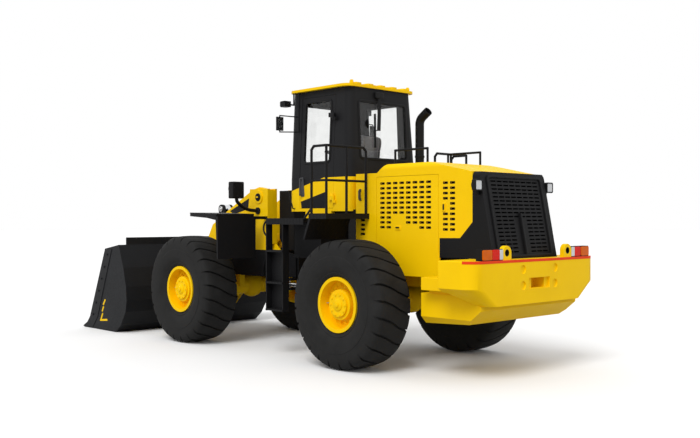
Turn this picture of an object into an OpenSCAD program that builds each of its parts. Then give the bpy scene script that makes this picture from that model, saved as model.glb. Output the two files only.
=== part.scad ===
// Articulated wheel loader with a ground bucket, Z-bar lift arms and an enclosed cab.
// +X is forward, +Y is left, +Z is up; the ground is z = 0.

/* [Running gear] */
// Distance between the front and the rear axle
wheelbase = 3500; // [3460:10:3560]
// Distance between the tyre centres of one axle
track = 2240; // [2200:10:2300]
// Diameter over the tyre
tyre_d = 1610; // [1590:5:1630]
// Width of the tyre
tyre_w = 600; // [560:10:620]
// Radius over the rim flange
rim_r = 345; // [335:1:355]
// Radius of the axle spindles
spindle_r = 110; // [90:1:120]
// Number of lugs along one shoulder of a tyre
lugs = 24; // [20:1:28]
// Width of the grooves between the lugs
groove_w = 34; // [24:1:40]
// Depth of the grooves between the lugs
groove_d = 35; // [20:1:40]

/* [Frames] */
// Outer half-width of the rear frame rails
rail_y = 350; // [330:5:370]
// Thickness of the rear frame rails
rail_t = 50; // [30:5:60]
// Radius of the centre hinge pins
hitch_r = 60; // [45:1:70]
// Outer half-width of the loader tower
tower_y = 470; // [455:5:500]
// Thickness of the tower plates
tower_t = 40; // [25:5:45]

/* [Lift arms] */
// Thickness of one lift arm
arm_t = 80; // [60:5:90]
// Radius of the lift arm pins
arm_pin_r = 45; // [35:1:55]
// Radius of the lift cylinder tubes
lift_r = 68; // [55:1:72]
// Radius of the tilt cylinder tube
tilt_r = 80; // [65:1:90]
// Radius of the steering cylinder tubes
steer_r = 48; // [40:1:55]

/* [Bucket] */
// Width of the bucket
bucket_w = 2900; // [2700:20:3000]
// Thickness of the bucket plate
bucket_t = 30; // [20:1:36]
// Number of bucket teeth
teeth = 8; // [6:1:10]

/* [Body] */
// Width of the hood
hood_w = 1280; // [1240:10:1300]
// Thickness of the hood sheet
hood_t = 20; // [12:1:25]
// Width of the cab
cab_w = 1330; // [1290:10:1350]
// How far a cab side leans in between the belt line and the roof
cab_lean = 60; // [40:5:80]
// Half-width over the step decks behind the cab
deck_y = 1400; // [1360:5:1420]
// Thickness of the cab wall
cab_t = 40; // [30:1:50]
// Width of the counterweight
cw_w = 2500; // [2400:10:2560]
// Height of the counterweight top edge
cw_top = 1400; // [1380:5:1430]
// Width of a louvre slot
slot_w = 62; // [40:1:70]
// Height of a louvre slot
slot_h = 16; // [10:1:22]
// Diameter of the handrail tube
rail_d = 34; // [28:1:40]

/* [Hidden] */
$fn = 48;
axle_h = 805;
lift_z = tyre_d / 2 - axle_h;
tip_x = 4700;
tail_x = 3785;
shift_x = (tip_x - tail_x) / 2;
// A position given as the distance ahead of the tail
function rx(d) = d - tail_x;
fa = wheelbase / 2;
hood_y = hood_w / 2;
cab_y = cab_w / 2;
cw_y = cw_w / 2;
seat_r = rim_r - 25;
run = 0.1;
arm_out = tower_y - tower_t - 10;
arm_in = arm_out - arm_t;
in_out = arm_in - 10;
in_in = in_out - tower_t;
rail_in = rail_y - rail_t;
deck_z = 1970;
step_z = 1935;
belt_z = 2430;
roof_z = 3645;
cab_x0 = -1265;
cab_x1 = 10;
cab_r = 110;
rear_lean = 68;
tank_top = 1820;
bk_y = bucket_w / 2;
// Pin positions of the loader linkage, as [x, z]
pa = [950, 2195];
pb = [2950, 380];
pd = [2275, 1380];
pt = [2030, 1530];
pf = [2450, 2030];
pg = [2307, 561];
pc = [3010, 700];
pe = [1000, 1750];
pj = [500, 1120];
ph = [2100, 1130];
// Pin positions of the left steering cylinder, as [x, y]
sb = [-650, 480];
se = [350, 420];
st_z = 905;

yellow = [1, 0.78, 0.02];
dark = [0.16, 0.16, 0.17];
steel = [0.75, 0.76, 0.78];
rubber = [0.18, 0.18, 0.18];
glass = [0.6, 0.75, 0.8, 0.4];

// A piece and its mirror image on the right
module both() {
    children();
    mirror([0, 1, 0]) children();
}

// A side outline in x and z, made into a plate from y0 over the thickness t
module side_plate(y0, t) {
    translate([0, y0 + t, 0]) rotate([90, 0, 0]) linear_extrude(t) children();
}

// A cross outline in y and z, made into a plate from x0 over the thickness t
module cross_plate(x0, t) {
    translate([x0, 0, 0]) rotate([90, 0, 90]) linear_extrude(t) children();
}

// A round bar across the machine at [x, z] from y0 to y1
module cross_bar(p, r, y0, y1) {
    translate([p[0], y1, p[1]]) rotate([90, 0, 0]) cylinder(r = r, h = y1 - y0);
}

// A box from one corner to the opposite one
module block(a, b) {
    translate(a) cube(b - a);
}

// A rectangle with rounded corners between two opposite corners
module round_rect(a, b, r) {
    translate([a[0] + r, a[1]]) square([b[0] - a[0] - 2 * r, b[1] - a[1]]);
    translate([a[0], a[1] + r]) square([b[0] - a[0], b[1] - a[1] - 2 * r]);
    for (x = [a[0] + r, b[0] - r], y = [a[1] + r, b[1] - r])
        translate([x, y]) circle(r);
}

// A flat bar between two round ends in the drawing plane
module link_2d(p, q, r, s) {
    d = norm(q - p);
    u = (q - p) / d;
    n = [-u[1], u[0]];
    polygon([p + n * r, p - n * r, q - n * s, q + n * s]);
    translate(p) circle(r);
    translate(q) circle(s);
}

// A straight tube between two points with ball ends
module tube(p, q, d) {
    v = q - p;
    translate(p) sphere(d = d * 1.05);
    translate(q) sphere(d = d * 1.05);
    translate(p)
        rotate([0, acos(v[2] / norm(v)), atan2(v[1], v[0])])
            cylinder(d = d, h = norm(v));
}

// A tube through a row of points
module bent_tube(pts, d) {
    for (i = [0:len(pts) - 2]) tube(pts[i], pts[i + 1], d);
}

// Wheels

// Radius on the tyre section, stretched between the rim seat and the tread
function tr(r) = seat_r + (r - 320) * (tyre_d / 2 - seat_r) / 485;

// One tyre about the Z axis, outer side up
module tyre_body() {
    k = tyre_w / 600;
    half = [[320, 216], [346, 216], [372, 240], [450, 284], [560, 300], [690, 294], [748, 276],
        [786, 232], [801, 140], [805, 0]];
    back = [[320, 190], [380, 205], [470, 240], [600, 256], [700, 246], [742, 180], [750, 0]];
    outer = [for (p = half) [tr(p[0]), p[1] * k]];
    inner = [for (p = back) [tr(p[0]), p[1] * k]];
    n = len(outer);
    m = len(inner);
    difference() {
        rotate_extrude($fn = 96)
            polygon(concat([for (i = [0:n - 1]) [outer[i][0], -outer[i][1]]],
                [for (i = [n - 2:-1:0]) outer[i]],
                [for (i = [0:m - 1]) inner[i]],
                [for (i = [m - 2:-1:0]) [inner[i][0], -inner[i][1]]]));
        // Grooves of both shoulders, half a lug apart
        for (s = [-1, 1], i = [0:lugs - 1]) rotate([0, 0, (i + s / 4) * 360 / lugs])
            translate([tyre_d / 2 - groove_d, -groove_w / 2, s > 0 ? 20 : -tyre_w / 2 - 10])
                cube([60, groove_w, tyre_w / 2 - 10]);
    }
}

// One rim about the Z axis, outer side up, with the hub and its cover
module rim_body() {
    k = tyre_w / 600;
    w = 216 * k;
    rotate_extrude($fn = 96) {
        translate([seat_r - 18, -w - 24]) square([18, 2 * w + 48]);
        translate([seat_r - 18, w]) square([43, 24]);
        translate([seat_r - 18, -w - 24]) square([43, 24]);
        translate([spindle_r + run, 60]) square([seat_r - 10 - spindle_r, 36]);
        translate([spindle_r + run, -60]) square([78, 250]);
        translate([0, 188]) square([150, 30]);
    }
}

// Puts a wheel piece on its axle: sx is +1 in front, sy is +1 on the left
module at_wheel(sx, sy) {
    translate([sx * fa, sy * track / 2, axle_h])
        rotate([-90 * sy, 0, 0]) children();
}

module tyre_fl() { color(rubber) at_wheel(1, 1) tyre_body(); }
module tyre_fr() { color(rubber) at_wheel(1, -1) tyre_body(); }
module tyre_rl() { color(rubber) at_wheel(-1, 1) tyre_body(); }
module tyre_rr() { color(rubber) at_wheel(-1, -1) tyre_body(); }
module rim_fl() { color(yellow) at_wheel(1, 1) rim_body(); }
module rim_fr() { color(yellow) at_wheel(1, -1) rim_body(); }
module rim_rl() { color(yellow) at_wheel(-1, 1) rim_body(); }
module rim_rr() { color(yellow) at_wheel(-1, -1) rim_body(); }

// Axle housing with the differential, the spindles and the pads under the frame
module axle_body(x, pad_y) {
    translate([x, 0, axle_h]) {
        rotate([90, 0, 0]) cylinder(r = 130, h = 1400, center = true);
        rotate([90, 0, 0]) cylinder(r = spindle_r, h = track + 330, center = true);
        both() translate([0, 720, 0]) rotate([90, 0, 0]) cylinder(r = 200, h = 80);
        both() translate([0, 780, 0]) rotate([90, 0, 0]) cylinder(r = 165, h = 80);
        sphere(r = 190);
        both() block([-170, pad_y - 60, 0], [170, pad_y + 40, 195]);
    }
}

module rear_axle() { color(yellow) axle_body(-fa, rail_y - 10); }
module front_axle() { color(yellow) axle_body(fa, in_out - 10); }

// Rear frame

module rear_frame() {
    color(yellow) {
        both() side_plate(rail_in, rail_t)
            polygon([[rx(535), 1080], [rx(885), 1000], [-400, 1000], [-400, 1350], [rx(535), 1350]]);
        difference() {
            block([-480, -rail_in, 620], [-200, rail_in, 1420]);
            block([-500, 60 - rail_in, 800], [-180, rail_in - 60, 1190]);
        }
        hitch_ear(1230);
        hitch_ear(690);
        block([rx(835), -rail_in - 10, 1010], [rx(915), rail_in + 10, 1340]);
        // Brackets and pins of the steering cylinders
        both() {
            block([sb[0] - 70, rail_y - 40, st_z - 85], [sb[0] + 70, rail_y + 20, 1050]);
            for (z = [st_z - 85, st_z + 55]) {
                block([sb[0] - 70, rail_y - 10, z], [sb[0] + 70, sb[1], z + 30]);
                translate([sb[0], sb[1], z]) cylinder(r = 70, h = 30);
            }
            translate([sb[0], sb[1], st_z - 70]) cylinder(r = 28, h = 140);
        }
    }
}

// One ear of the rear frame with the bore for a hinge pin
module hitch_ear(z) {
    difference() {
        union() {
            block([-210, -150, z], [0, 150, z + 80]);
            translate([0, 0, z]) cylinder(r = 150, h = 80);
        }
        translate([0, 0, z - 1]) cylinder(r = hitch_r + run, h = 82);
    }
}

module engine() {
    color(dark) {
        block([rx(925), -rail_in, 1010], [-1450, rail_in, 2050]);
        block([-1440, -rail_in, 900], [-700, rail_in, 1330]);
    }
}

// Rear body

module counterweight() {
    color(yellow) difference() {
        union() {
            translate([0, 0, 1040]) linear_extrude(cw_top - 1040) difference() {
                round_rect([-tail_x, -cw_y], [rx(785), cw_y], 200);
                translate([rx(485), -cw_y - 1]) square([400, cw_w + 2]);
            }
            block([rx(480), -hood_y - 10, 1040], [rx(535), hood_y + 10, cw_top]);
            both() block([rx(480), hood_y + 10, 1040], [rx(885), 1090, 1190]);
            cross_plate(-tail_x, 420)
                polygon([[-1000, 880], [1000, 880], [1200, 1045], [-1200, 1045]]);
            both() lift_lug();
        }
        // Belly slope under the block
        side_plate(-1300, 2600)
            polygon([[rx(85), 870], [rx(435), 1041], [rx(435), 870]]);
        // Round recesses and the tow pocket in the rear face
        for (y = [-210, 210], z = [1010, 1250])
            translate([-tail_x - 1, y, z]) rotate([0, 90, 0]) cylinder(r = 42, h = 61);
        block([-tail_x - 1, -130, 1060], [-tail_x + 180, 130, 1180]);
        translate([-tail_x + 90, 0, 1030]) cylinder(r = 26, h = 400);
    }
}

// Height of the sloping belly at a distance ahead of the tail
function belly_z(d) = 870 + (d - 85) * 171 / 350;

module belly_tank() {
    color(yellow) {
        intersection() {
            side_plate(-950, 1900)
                polygon([[rx(1005), 995], [rx(1005), 635], [rx(325), 665], [rx(120), 835],
                    [rx(120), belly_z(120) - 1], [rx(340), belly_z(340) - 1]]);
            cross_plate(rx(100), 920)
                polygon([[-950, 1000], [-950, 720], [-850, 620], [850, 620], [950, 720], [950, 1000]]);
        }
        both() block([rx(500), hood_y + 15, 985], [rx(885), 940, 1040]);
    }
}

// Upright plate with a lifting eye
module lift_lug() {
    cross_plate(-tail_x + 20, 40) difference() {
        union() {
            translate([610, cw_top + 79]) circle(58);
            translate([552, cw_top - 10]) square([116, 89]);
        }
        translate([610, cw_top + 79]) circle(24);
    }
}

hood_out = [[-1350, 1155], [-1350, 2455], [-1740, 2455], [-1880, 2565], [rx(1185), 2565], [rx(485), 2420],
    [rx(485), 1830], [rx(671), 1640], [rx(988), 1635], [rx(988), 1155]];
hood_hol = [[-1350 - hood_t, 1100], [-1350 - hood_t, 2455 - hood_t], [-1745, 2455 - hood_t],
    [-1885, 2565 - hood_t], [rx(1185), 2565 - hood_t], [rx(465), 2416 - hood_t], [rx(465), 1100]];

// Section of the hood across the machine, with rounded shoulders
module hood_section(y, r, top) {
    translate([-y, 1000]) square([2 * y, top - r - 1000]);
    translate([-y + r, 1000]) square([2 * y - 2 * r, top - 1000]);
    for (s = [-1, 1]) translate([s * (y - r), top - r]) circle(r);
}

module hood() {
    color(yellow) difference() {
        intersection() {
            side_plate(-hood_y, hood_w) polygon(hood_out);
            cross_plate(rx(385), tail_x - 1585) hood_section(hood_y, 70, 2565);
        }
        intersection() {
            side_plate(-hood_y + hood_t, hood_w - 2 * hood_t) polygon(hood_hol);
            cross_plate(rx(385), tail_x - 1585) hood_section(hood_y - hood_t, 60, 2565 - hood_t);
        }
        block([rx(1005), -hood_y - 1, 1430], [-1730, hood_y + 1, 2405]);
        side_plate(-hood_y - 1, hood_w + 2) rear_slots();
        side_plate(-hood_y - 1, hood_w + 2)
            for (i = [0:3]) translate([-1520, 1660 + 60 * i]) square([80, slot_h]);
        block([-1400, -rail_y - 20, 1000], [-1300, rail_y + 20, 1350]);
    }
}

// Louvre slots of the fixed rear side section
module rear_slots() {
    for (c = [0:1], r = [0:9])
        if (c == 1 || (r != 4 && r != 5))
            translate([rx(895 - 110 * c) - slot_w / 2, 2290 - 62 * r]) square([slot_w, slot_h]);
}

// Louvre slots of one side panel, with the latch corner left plain
module panel_slots() {
    columns = floor((tail_x - 2743) / 130);
    for (c = [0:columns - 1], r = [0:9])
        if (!(r > 6 && r < 9 && (c == 2 || c == 3)) && !(r == 9 && c > 1 && c < 6))
            translate([-1839 - 112 * c - slot_w / 2, 2310 - 62 * r]) square([slot_w, slot_h]);
}

module hood_panels() {
    color(yellow) both() side_plate(hood_y - hood_t, hood_t) difference() {
        translate([rx(1009), 1430]) square([tail_x - 2743, 971]);
        panel_slots();
    }
}

guard_out = [[rx(485), 2420], [rx(385), 2416], [rx(185), cw_top], [rx(988), cw_top], [rx(988), 1635],
    [rx(671), 1640], [rx(485), 1830]];
guard_hol = [[rx(495), 2390], [rx(413), 2390], [rx(220), cw_top - 5], [rx(1085), cw_top - 5],
    [rx(1085), 1800], [rx(585), 1800]];

module rear_guard() {
    color(dark) difference() {
        intersection() {
            side_plate(-hood_y, hood_w) polygon(guard_out);
            cross_plate(rx(85), 1000) hood_section(hood_y, 70, 2425);
        }
        side_plate(-hood_y + 25, hood_w - 50) polygon(guard_hol);
        cross_plate(rx(85), 500)
            for (c = [-4:3], r = [0:18])
                if (!((c == -1 || c == 0) && r > 9))
                    translate([8 + 118 * c, 1470 + 46 * (18 - r)]) square([100, 18]);
    }
}

module exhaust() {
    color(dark) {
        translate([-1630, -300, 2455]) cylinder(r = 95, h = 60);
        translate([-1630, -300, 2455]) difference() {
            cylinder(r = 60, h = 700);
            translate([0, 0, 60]) cylinder(r = 54, h = 641);
        }
        translate([-1750, -300, 3155]) {
            rotate([90, 0, 0]) rotate_extrude(angle = 55) translate([120, 0]) difference() {
                circle(60);
                circle(54);
            }
            rotate([0, -55, 0]) translate([120, 0, 0]) linear_extrude(130) difference() {
                circle(60);
                circle(54);
            }
        }
    }
}

module hood_rail() {
    color(dark) for (y = [-520, 520]) {
        for (x = [-1950, rx(1285)]) translate([x, y, 2565]) cylinder(d = 30, h = 175);
        tube([-1950, y, 2740], [rx(1285), y, 2740], 30);
    }
}

module rear_lamps() {
    color([0.75, 0.1, 0.05]) both() {
        block([rx(15), cw_y - 560, cw_top], [rx(95), cw_y - 360, cw_top + 130]);
        block([rx(10), cw_y - 358, cw_top], [rx(95), cw_y - 180, cw_top + 130]);
    }
}

module work_lamps() {
    color(dark) both() {
        block([rx(385), hood_y, 2150], [rx(445), hood_y + 40, 2190]);
        block([rx(355), hood_y + 5, 2190], [rx(475), hood_y + 135, 2320]);
    }
}

// Side structures

module rear_fenders() {
    color(dark) both() {
        block([-1600, hood_y, step_z - 70], [-1270, deck_y, step_z]);
        side_plate(hood_y + 60, deck_y - hood_y - 60)
            polygon([[-1270, step_z - 60], [-1310, step_z - 60], [-1190, 1600], [-1155, 1600]]);
    }
}

module side_tanks() {
    color(dark) both() block([-900, rail_y, 1330], [-350, 860, tank_top]);
}

module ladders() {
    color(dark) both() {
        block([-935, cab_y, tank_top], [-150, 1200, tank_top + 55]);
        block([-935, 1170, tank_top - 30], [-150, 1200, tank_top + 10]);
        for (x = [-160, -510]) block([x, 1095, 610], [x + 20, 1195, tank_top + 10]);
        block([-505, 1085, 640], [-145, 1100, 1440]);
        for (z = [1440, 1010, 640]) block([-505, 1095, z - 25], [-145, 1205, z]);
    }
}

module handrails() {
    x0 = -1575;
    x1 = -1295;
    y0 = hood_y + 40;
    y1 = deck_y - 30;
    color(dark) both() {
        for (p = [[x1, y1, 2740], [x0, y1, 2785], [x0, (y0 + y1) / 2, 2785], [x0, y0, 2740]])
            translate([p[0], p[1], step_z]) cylinder(d = rail_d, h = p[2] - step_z);
        bent_tube([[x1, y1, 2740], [x1 - 45, y1, 2785], [x0, y1, 2785], [x0, y0 + 45, 2785],
            [x0, y0, 2740]], rail_d);
        bent_tube([[x1, y1, 2350], [x0, y1, 2350], [x0, y0, 2350]], rail_d * 0.9);
    }
}

// Cab

door_x0 = -930;
door_x1 = -244;
door_gap = 9;
door_top = 3552;

// Half-width of the cab at a height
function wall_y(z) = cab_y - cab_lean * max(0, z - belt_z) / (roof_z - belt_z);

// Rear face of the cab at a height
function wall_x(z) = cab_x0 + rear_lean * max(0, z - belt_z) / (roof_z - belt_z);

module cab_plan(g) {
    round_rect([cab_x0 + g, -cab_y + g], [cab_x1 - g, cab_y - g], cab_r - g);
}

// Floor and walls of the lower cab, open at the door
module lower_cab() {
    difference() {
        translate([0, 0, deck_z]) linear_extrude(belt_z - deck_z) cab_plan(0);
        translate([0, 0, deck_z + 40]) linear_extrude(belt_z - deck_z) cab_plan(cab_t);
        block([door_x0 - 4, cab_y - cab_t - 1, deck_z + 40], [door_x1 + door_gap, cab_y + 1, belt_z + 1]);
    }
}

// The wedge under the belt line where the dark upper cab comes down at the front
module apron_slab(g) {
    side_plate(-cab_y - 10, cab_w + 20)
        polygon([[-740 + 4 * g, belt_z - g], [cab_x1 + 30, belt_z - (cab_x1 + 770) / 4],
            [cab_x1 + 30, belt_z - g]]);
}

module cab_base() {
    color(yellow) {
        difference() {
            lower_cab();
            apron_slab(-1);
        }
        both() block([-890, 450, tank_top], [-360, cab_y, deck_z]);
        hinge_pins(2080);
    }
}

// Pins of the cab door hinge on the fixed side
module hinge_pins(z) {
    translate([door_x0 - 22, cab_y + 20, z]) cylinder(r = 9, h = 130);
    translate([door_x0 - 22, cab_y + 20, z]) cylinder(r = 16, h = 40);
    block([door_x0 - 60, wall_y(z + 40) - 10, z], [door_x0 - 22, cab_y + 20, z + 40]);
}

// The outside of the upper cab at a wall inset g
module cab_shape(g) {
    hull() {
        translate([0, 0, belt_z - g]) linear_extrude(1) cab_plan(g);
        translate([0, 0, roof_z - 1 + g])
            linear_extrude(1)
                round_rect([wall_x(roof_z) + g, -wall_y(roof_z) + g], [cab_x1 - g, wall_y(roof_z) - g],
                    cab_r - g);
    }
}

module cab_frame() {
    color(dark) {
        difference() {
            cab_shape($fn = 32, 0);
            cab_shape($fn = 32, cab_t);
            block([door_x0 - 4, 500, 2400], [door_x1 + door_gap, cab_y + 1, door_top + 4]);
            block([-930, -cab_y - 1, 2620], [-300, -500, 3500]);
            block([-1400, -460, 2680], [-1000, 460, 3460]);
            block([-100, -470, 2560], [100, 470, 3500]);
        }
        intersection() {
            lower_cab();
            apron_slab(2);
        }
        hinge_pins(3200);
    }
}

module cab_roof() {
    color(yellow) translate([0, 0, roof_z]) {
        linear_extrude(35) round_rect([cab_x0 + 40, -cab_y - 10], [cab_x1 + 5, cab_y + 10], 130);
        for (y = [-450, -150, 150, 450]) translate([0, y - 60, 35])
            linear_extrude(15) round_rect([-1200, 0], [-60, 120], 40);
    }
}

module cab_glass() {
    color(glass) {
        cross_plate(-930, 630)
            polygon([for (p = [[10, 2620], [16, 2620], [16, 3500], [10, 3500]]) [p[0] - wall_y(p[1]), p[1]]]);
        lean_pane([wall_x(2680) + 10, 2680], [wall_x(3460) + 10, 3460], 460);
        lean_pane([cab_x1 - 20, 2560], [cab_x1 - 20, 3500], 470);
    }
}

// A pane that leans with the cab wall between two points [x, z]
module lean_pane(p, q, w) {
    side_plate(-w, 2 * w) polygon([p, p + [6, 0], q + [6, 0], q]);
}

module seat() {
    color(dark) {
        block([-880, -180, deck_z + 40], [-500, 180, deck_z + 280]);
        block([-930, -250, deck_z + 280], [-420, 250, deck_z + 400]);
        side_plate(-240, 480)
            polygon([[-930, deck_z + 400], [-800, deck_z + 400], [-900, deck_z + 1080], [-1010, deck_z + 1080]]);
    }
}

module steering_wheel() {
    color(dark) {
        tube([-200, 0, deck_z + 100], [-330, 0, deck_z + 820], 90);
        translate([-334, 0, deck_z + 840]) rotate([0, -12, 0]) {
            rotate_extrude($fn = 64) translate([200, 0]) circle(15, $fn = 16);
            for (a = [90, 210, 330]) rotate([0, 0, a]) translate([0, -14, -10]) cube([200, 28, 20]);
        }
        block([-260, -240, deck_z + 40], [-70, 240, deck_z + 560]);
    }
}

module mirrors() {
    color(dark) both() {
        translate([-200, cab_y - 12, 3080]) cylinder(d = 22, h = roof_z - 3080);
        bent_tube([[-200, cab_y - 12, 3300], [-105, 920, 3310], [-105, 920, 3080],
            [-200, cab_y - 12, 3090]], 16);
        block([-120, 865, 3100], [-90, 975, 3290]);
    }
}

module cab_lamps() {
    color(dark) both() {
        translate([-90, cab_y - 15, 3480]) cylinder(d = 22, h = roof_z - 3480);
        tube([-90, cab_y - 15, 3480], [-90, 760, 3480], 22);
        block([-140, 745, 3440], [-40, 855, 3520]);
    }
}

module cab_door() {
    color(yellow) {
        difference() {
            cross_plate(door_x0, door_x1 - door_x0)
                polygon([[cab_y - cab_t, deck_z + 44], [cab_y, deck_z + 44], [cab_y, belt_z],
                    [wall_y(door_top), door_top], [wall_y(door_top) - cab_t, door_top],
                    [cab_y - cab_t, belt_z]]);
            side_plate(cab_y - 200, 300) round_rect([-850, 2640], [-310, 3490], 60);
        }
        for (z = [2120, 3240]) difference() {
            union() {
                translate([door_x0 - 22, cab_y + 20, z + 1]) cylinder(r = 16, h = 60);
                block([door_x0 - 22, cab_y + 5, z + 1], [door_x0 + 60, cab_y + 30, z + 61]);
                block([door_x0 + 10, wall_y(z + 61) - 5, z + 1], [door_x0 + 60, cab_y + 10, z + 61]);
            }
            translate([door_x0 - 22, cab_y + 20, z]) cylinder(r = 9 + run, h = 62);
        }
    }
}

module door_handle() {
    color(steel) {
        for (z = [2200, 2420]) translate([-290, cab_y, z]) rotate([-90, 0, 0]) cylinder(d = 22, h = 45);
        tube([-290, cab_y + 45, 2200], [-290, cab_y + 45, 2420], 22);
    }
}

module door_glass() {
    color(glass) intersection() {
        cross_plate(-850, 540)
            polygon([for (p = [[20, 2600], [14, 2600], [14, 3530], [20, 3530]]) [wall_y(p[1]) - p[0], p[1]]]);
        side_plate(cab_y - 200, 300) round_rect([-850, 2640], [-310, 3490], 60);
    }
}

// Front frame

module front_frame() {
    tower = [[735, 2320], [1170, 2320], [1210, 2050], [1260, 1700], [1450, 1300], [1950, 1130],
        [1950, 1000]];
    color(yellow) {
        for (s = [0, 1]) mirror([0, s, 0]) {
            side_plate(tower_y - tower_t, tower_t)
                polygon(concat([[880, 1000], [735, 1420]], tower));
            side_plate(in_in, tower_t)
                polygon(concat([[250, 1000], [250, 1330], [640, 1400], [735, 1480]], tower));
            block([735, in_in, 1490], [770, tower_y, 2300]);
            block([250, in_in, 1000], [1850, in_out, 1040]);
            block([880, in_in, 1000], [1850, tower_y, 1040]);
            cross_bar(pa, arm_pin_r, in_in, tower_y);
            cross_bar(pa, 95, tower_y - 5, tower_y + 15);
            side_plate(90, 35) polygon([[735, 1640], [735, 1860], [1000, 1840], [1085, 1750], [1000, 1660]]);
            // Steering cylinder eye plates
            for (z = [st_z - 85, st_z + 55]) translate([0, 0, z]) {
                translate([se[0], se[1], 0]) cylinder(r = 62, h = 30);
                block([250, 200, 0], [se[0] + 62, se[1], 30]);
            }
        }
        block([250, -in_out, 1000], [300, in_out, 1330]);
        block([250, -in_in - 10, 1000], [1950, in_in + 10, 1030]);
        block([215, -300, 610], [265, 300, 1400]);
        block([735, -in_in - 5, 1650], [785, in_in + 5, 1850]);
        cross_bar(pe, 42, -125, 125);
        cross_bar(pj, 40, -in_in - 5, in_in + 5);
        hitch_fork(1230);
        hitch_fork(690);
    }
}

// Two plates and the pin round one ear of the rear frame
module hitch_fork(z) {
    for (h = [z - 80, z + 90]) translate([0, 0, h]) {
        cylinder(r = 140, h = 70);
        block([0, -140, 0], [230, 140, 70]);
    }
    translate([0, 0, z - 90]) cylinder(r = hitch_r, h = 260);
}

module front_fenders() {
    color(dark) both() {
        side_plate(700, 680)
            polygon([[770, 1900], [770, 1940], [1440, 1960], [1440, 1945], [790, 1910], [750, 1290],
                [730, 1290], [730, 1900]]);
        block([740, tower_y, 1860], [800, 720, 1905]);
    }
}

module head_lamps() {
    color(dark) both() {
        cross_plate(965, 60)
            polygon([[tower_y, 1930], [700, 1960], [905, 2150], [905, 2160], [835, 2160], [680, 2020],
                [tower_y, 2000]]);
        block([880, 745, 2160], [1060, 1015, 2430]);
    }
}

module valve_cover() {
    color(dark) side_plate(-240, 480)
        polygon([[400, 1400], [610, 1400], [735, 1575], [735, 2290], [450, 2290], [400, 2230]]);
}

// Loader linkage

module boom() {
    arm = [[1010, 2350], [1480, 1990], [2000, 1640], [2240, 1560], [2400, 1380], [2720, 900], [3050, 480],
        [3070, 380], [3000, 265], [2900, 262], [2480, 640], [2250, 880], [1960, 1000], [1420, 1560],
        [830, 2080], [800, 2195], [850, 2320]];
    color(yellow) {
        for (s = [0, 1]) mirror([0, s, 0]) {
            side_plate(arm_in, arm_t) difference() {
                polygon(arm);
                translate(pa) circle(arm_pin_r + run);
                translate(pb) circle(arm_pin_r + run);
            }
            cross_bar(ph, 62, arm_in - 85, arm_in + 5);
            side_plate(110, 40) difference() {
                link_2d(pd, pt, 110, 90);
                translate(pd) circle(50 + run);
            }
        }
        cross_bar(pt, 100, -arm_in - 5, arm_in + 5);
    }
}

module bellcrank() {
    color(dark) {
        cross_bar(pd, 105, -104, 104);
        side_plate(-45, 90) link_2d(pd, pg, 100, 70);
        for (y = [-98, 63]) side_plate(y, 35) link_2d(pd, pf, 100, 75);
        cross_bar(pd, 50, -160, 160);
    }
}

module bucket_link() {
    color(dark) for (y = [-85, 55]) side_plate(y, 30) difference() {
        link_2d(pg, pc, 75, 75);
        translate(pc) circle(40 + run);
    }
}

// Back curve of the bucket, outside, from the top edge to the floor
bk_back = [[3420, 1440], [3380, 1340], [3270, 1070], [3185, 760], [3165, 540], [3200, 350], [3340, 140], [3520, 0]];
bk_front = [[4600, 0], [4600, bucket_t], [3530, bucket_t]];

module bucket() {
    inner = [[3420 + bucket_t * 1.05, 1440], [3380 + bucket_t * 1.05, 1335], [3270 + bucket_t, 1060],
        [3185 + bucket_t, 755], [3165 + bucket_t, 545], [3200 + bucket_t * 0.95, 365],
        [3340 + bucket_t * 0.75, 140 + bucket_t * 0.7]];
    color(dark) {
        side_plate(-bk_y, bucket_w)
            polygon(concat(bk_back, bk_front, [for (i = [6:-1:0]) inner[i]]));
        both() side_plate(bk_y - 32, 32)
            polygon(concat(bk_back, [[4560, 0], [4380, 200], [3860, 1370]]));
        block([3420, -1300, 1435], [3420 + bucket_t, 1300, 1560]);
        for (s = [0, 1]) mirror([0, s, 0]) {
            for (y = [in_out - 35, arm_out + 10]) side_plate(y, 35)
                ear_outline(pb, [[3187, 720], [3180, 540], [3214, 356], [3320, 192]], 95);
            cross_bar(pb, arm_pin_r, in_out - 35, arm_out + 45);
            side_plate(92, 35) ear_outline(pc, [[3262, 1000], [3200, 760], [3182, 560]], 80);
        }
        cross_bar(pc, 40, -100, 100);
    }
}

// Ear from the back of the bucket round a pin
module ear_outline(p, back, s) {
    polygon(concat([p + [-s * 0.3, s * 0.95]], back, [p + [-s * 0.3, -s * 0.95]]));
    translate(p) circle(s);
}

module bucket_teeth() {
    pitch = (bucket_w - 160) / (teeth - 1);
    color(dark) for (i = [0:teeth - 1])
        side_plate(-bk_y + 80 + i * pitch - 45, 90)
            polygon([[4380, bucket_t], [4420, 80], [4560, 84], [tip_x, 14], [tip_x, 0], [4600, 0],
                [4600, bucket_t]]);
}

// Cylinders

// A cylinder tube along +X from its base eye at the origin
module barrel(r, rod, len, eye, bore, w) {
    difference() {
        union() {
            rotate([90, 0, 0]) cylinder(r = eye, h = w, center = true);
            translate([eye - 20, 0, 0]) rotate([0, 90, 0]) cylinder(r = r, h = len - eye + 20);
        }
        rotate([90, 0, 0]) cylinder(r = bore, h = w + 2, center = true);
        translate([eye + 40, 0, 0]) rotate([0, 90, 0]) cylinder(r = rod + run, h = len);
    }
}

// A rod along +X that ends in an eye at the origin
module rod(r, len, eye, w) {
    rotate([90, 0, 0]) cylinder(r = eye, h = w, center = true);
    translate([-len, 0, 0]) rotate([0, 90, 0]) cylinder(r = r, h = len);
}

// Puts a piece drawn along +X at p, pointing to q, in the side view
module aim(p, q, y, o) {
    translate([o[0], y, o[1]]) rotate([0, -atan2(q[1] - p[1], q[0] - p[0]), 0]) children();
}

lift_y = arm_in - 135;

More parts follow.
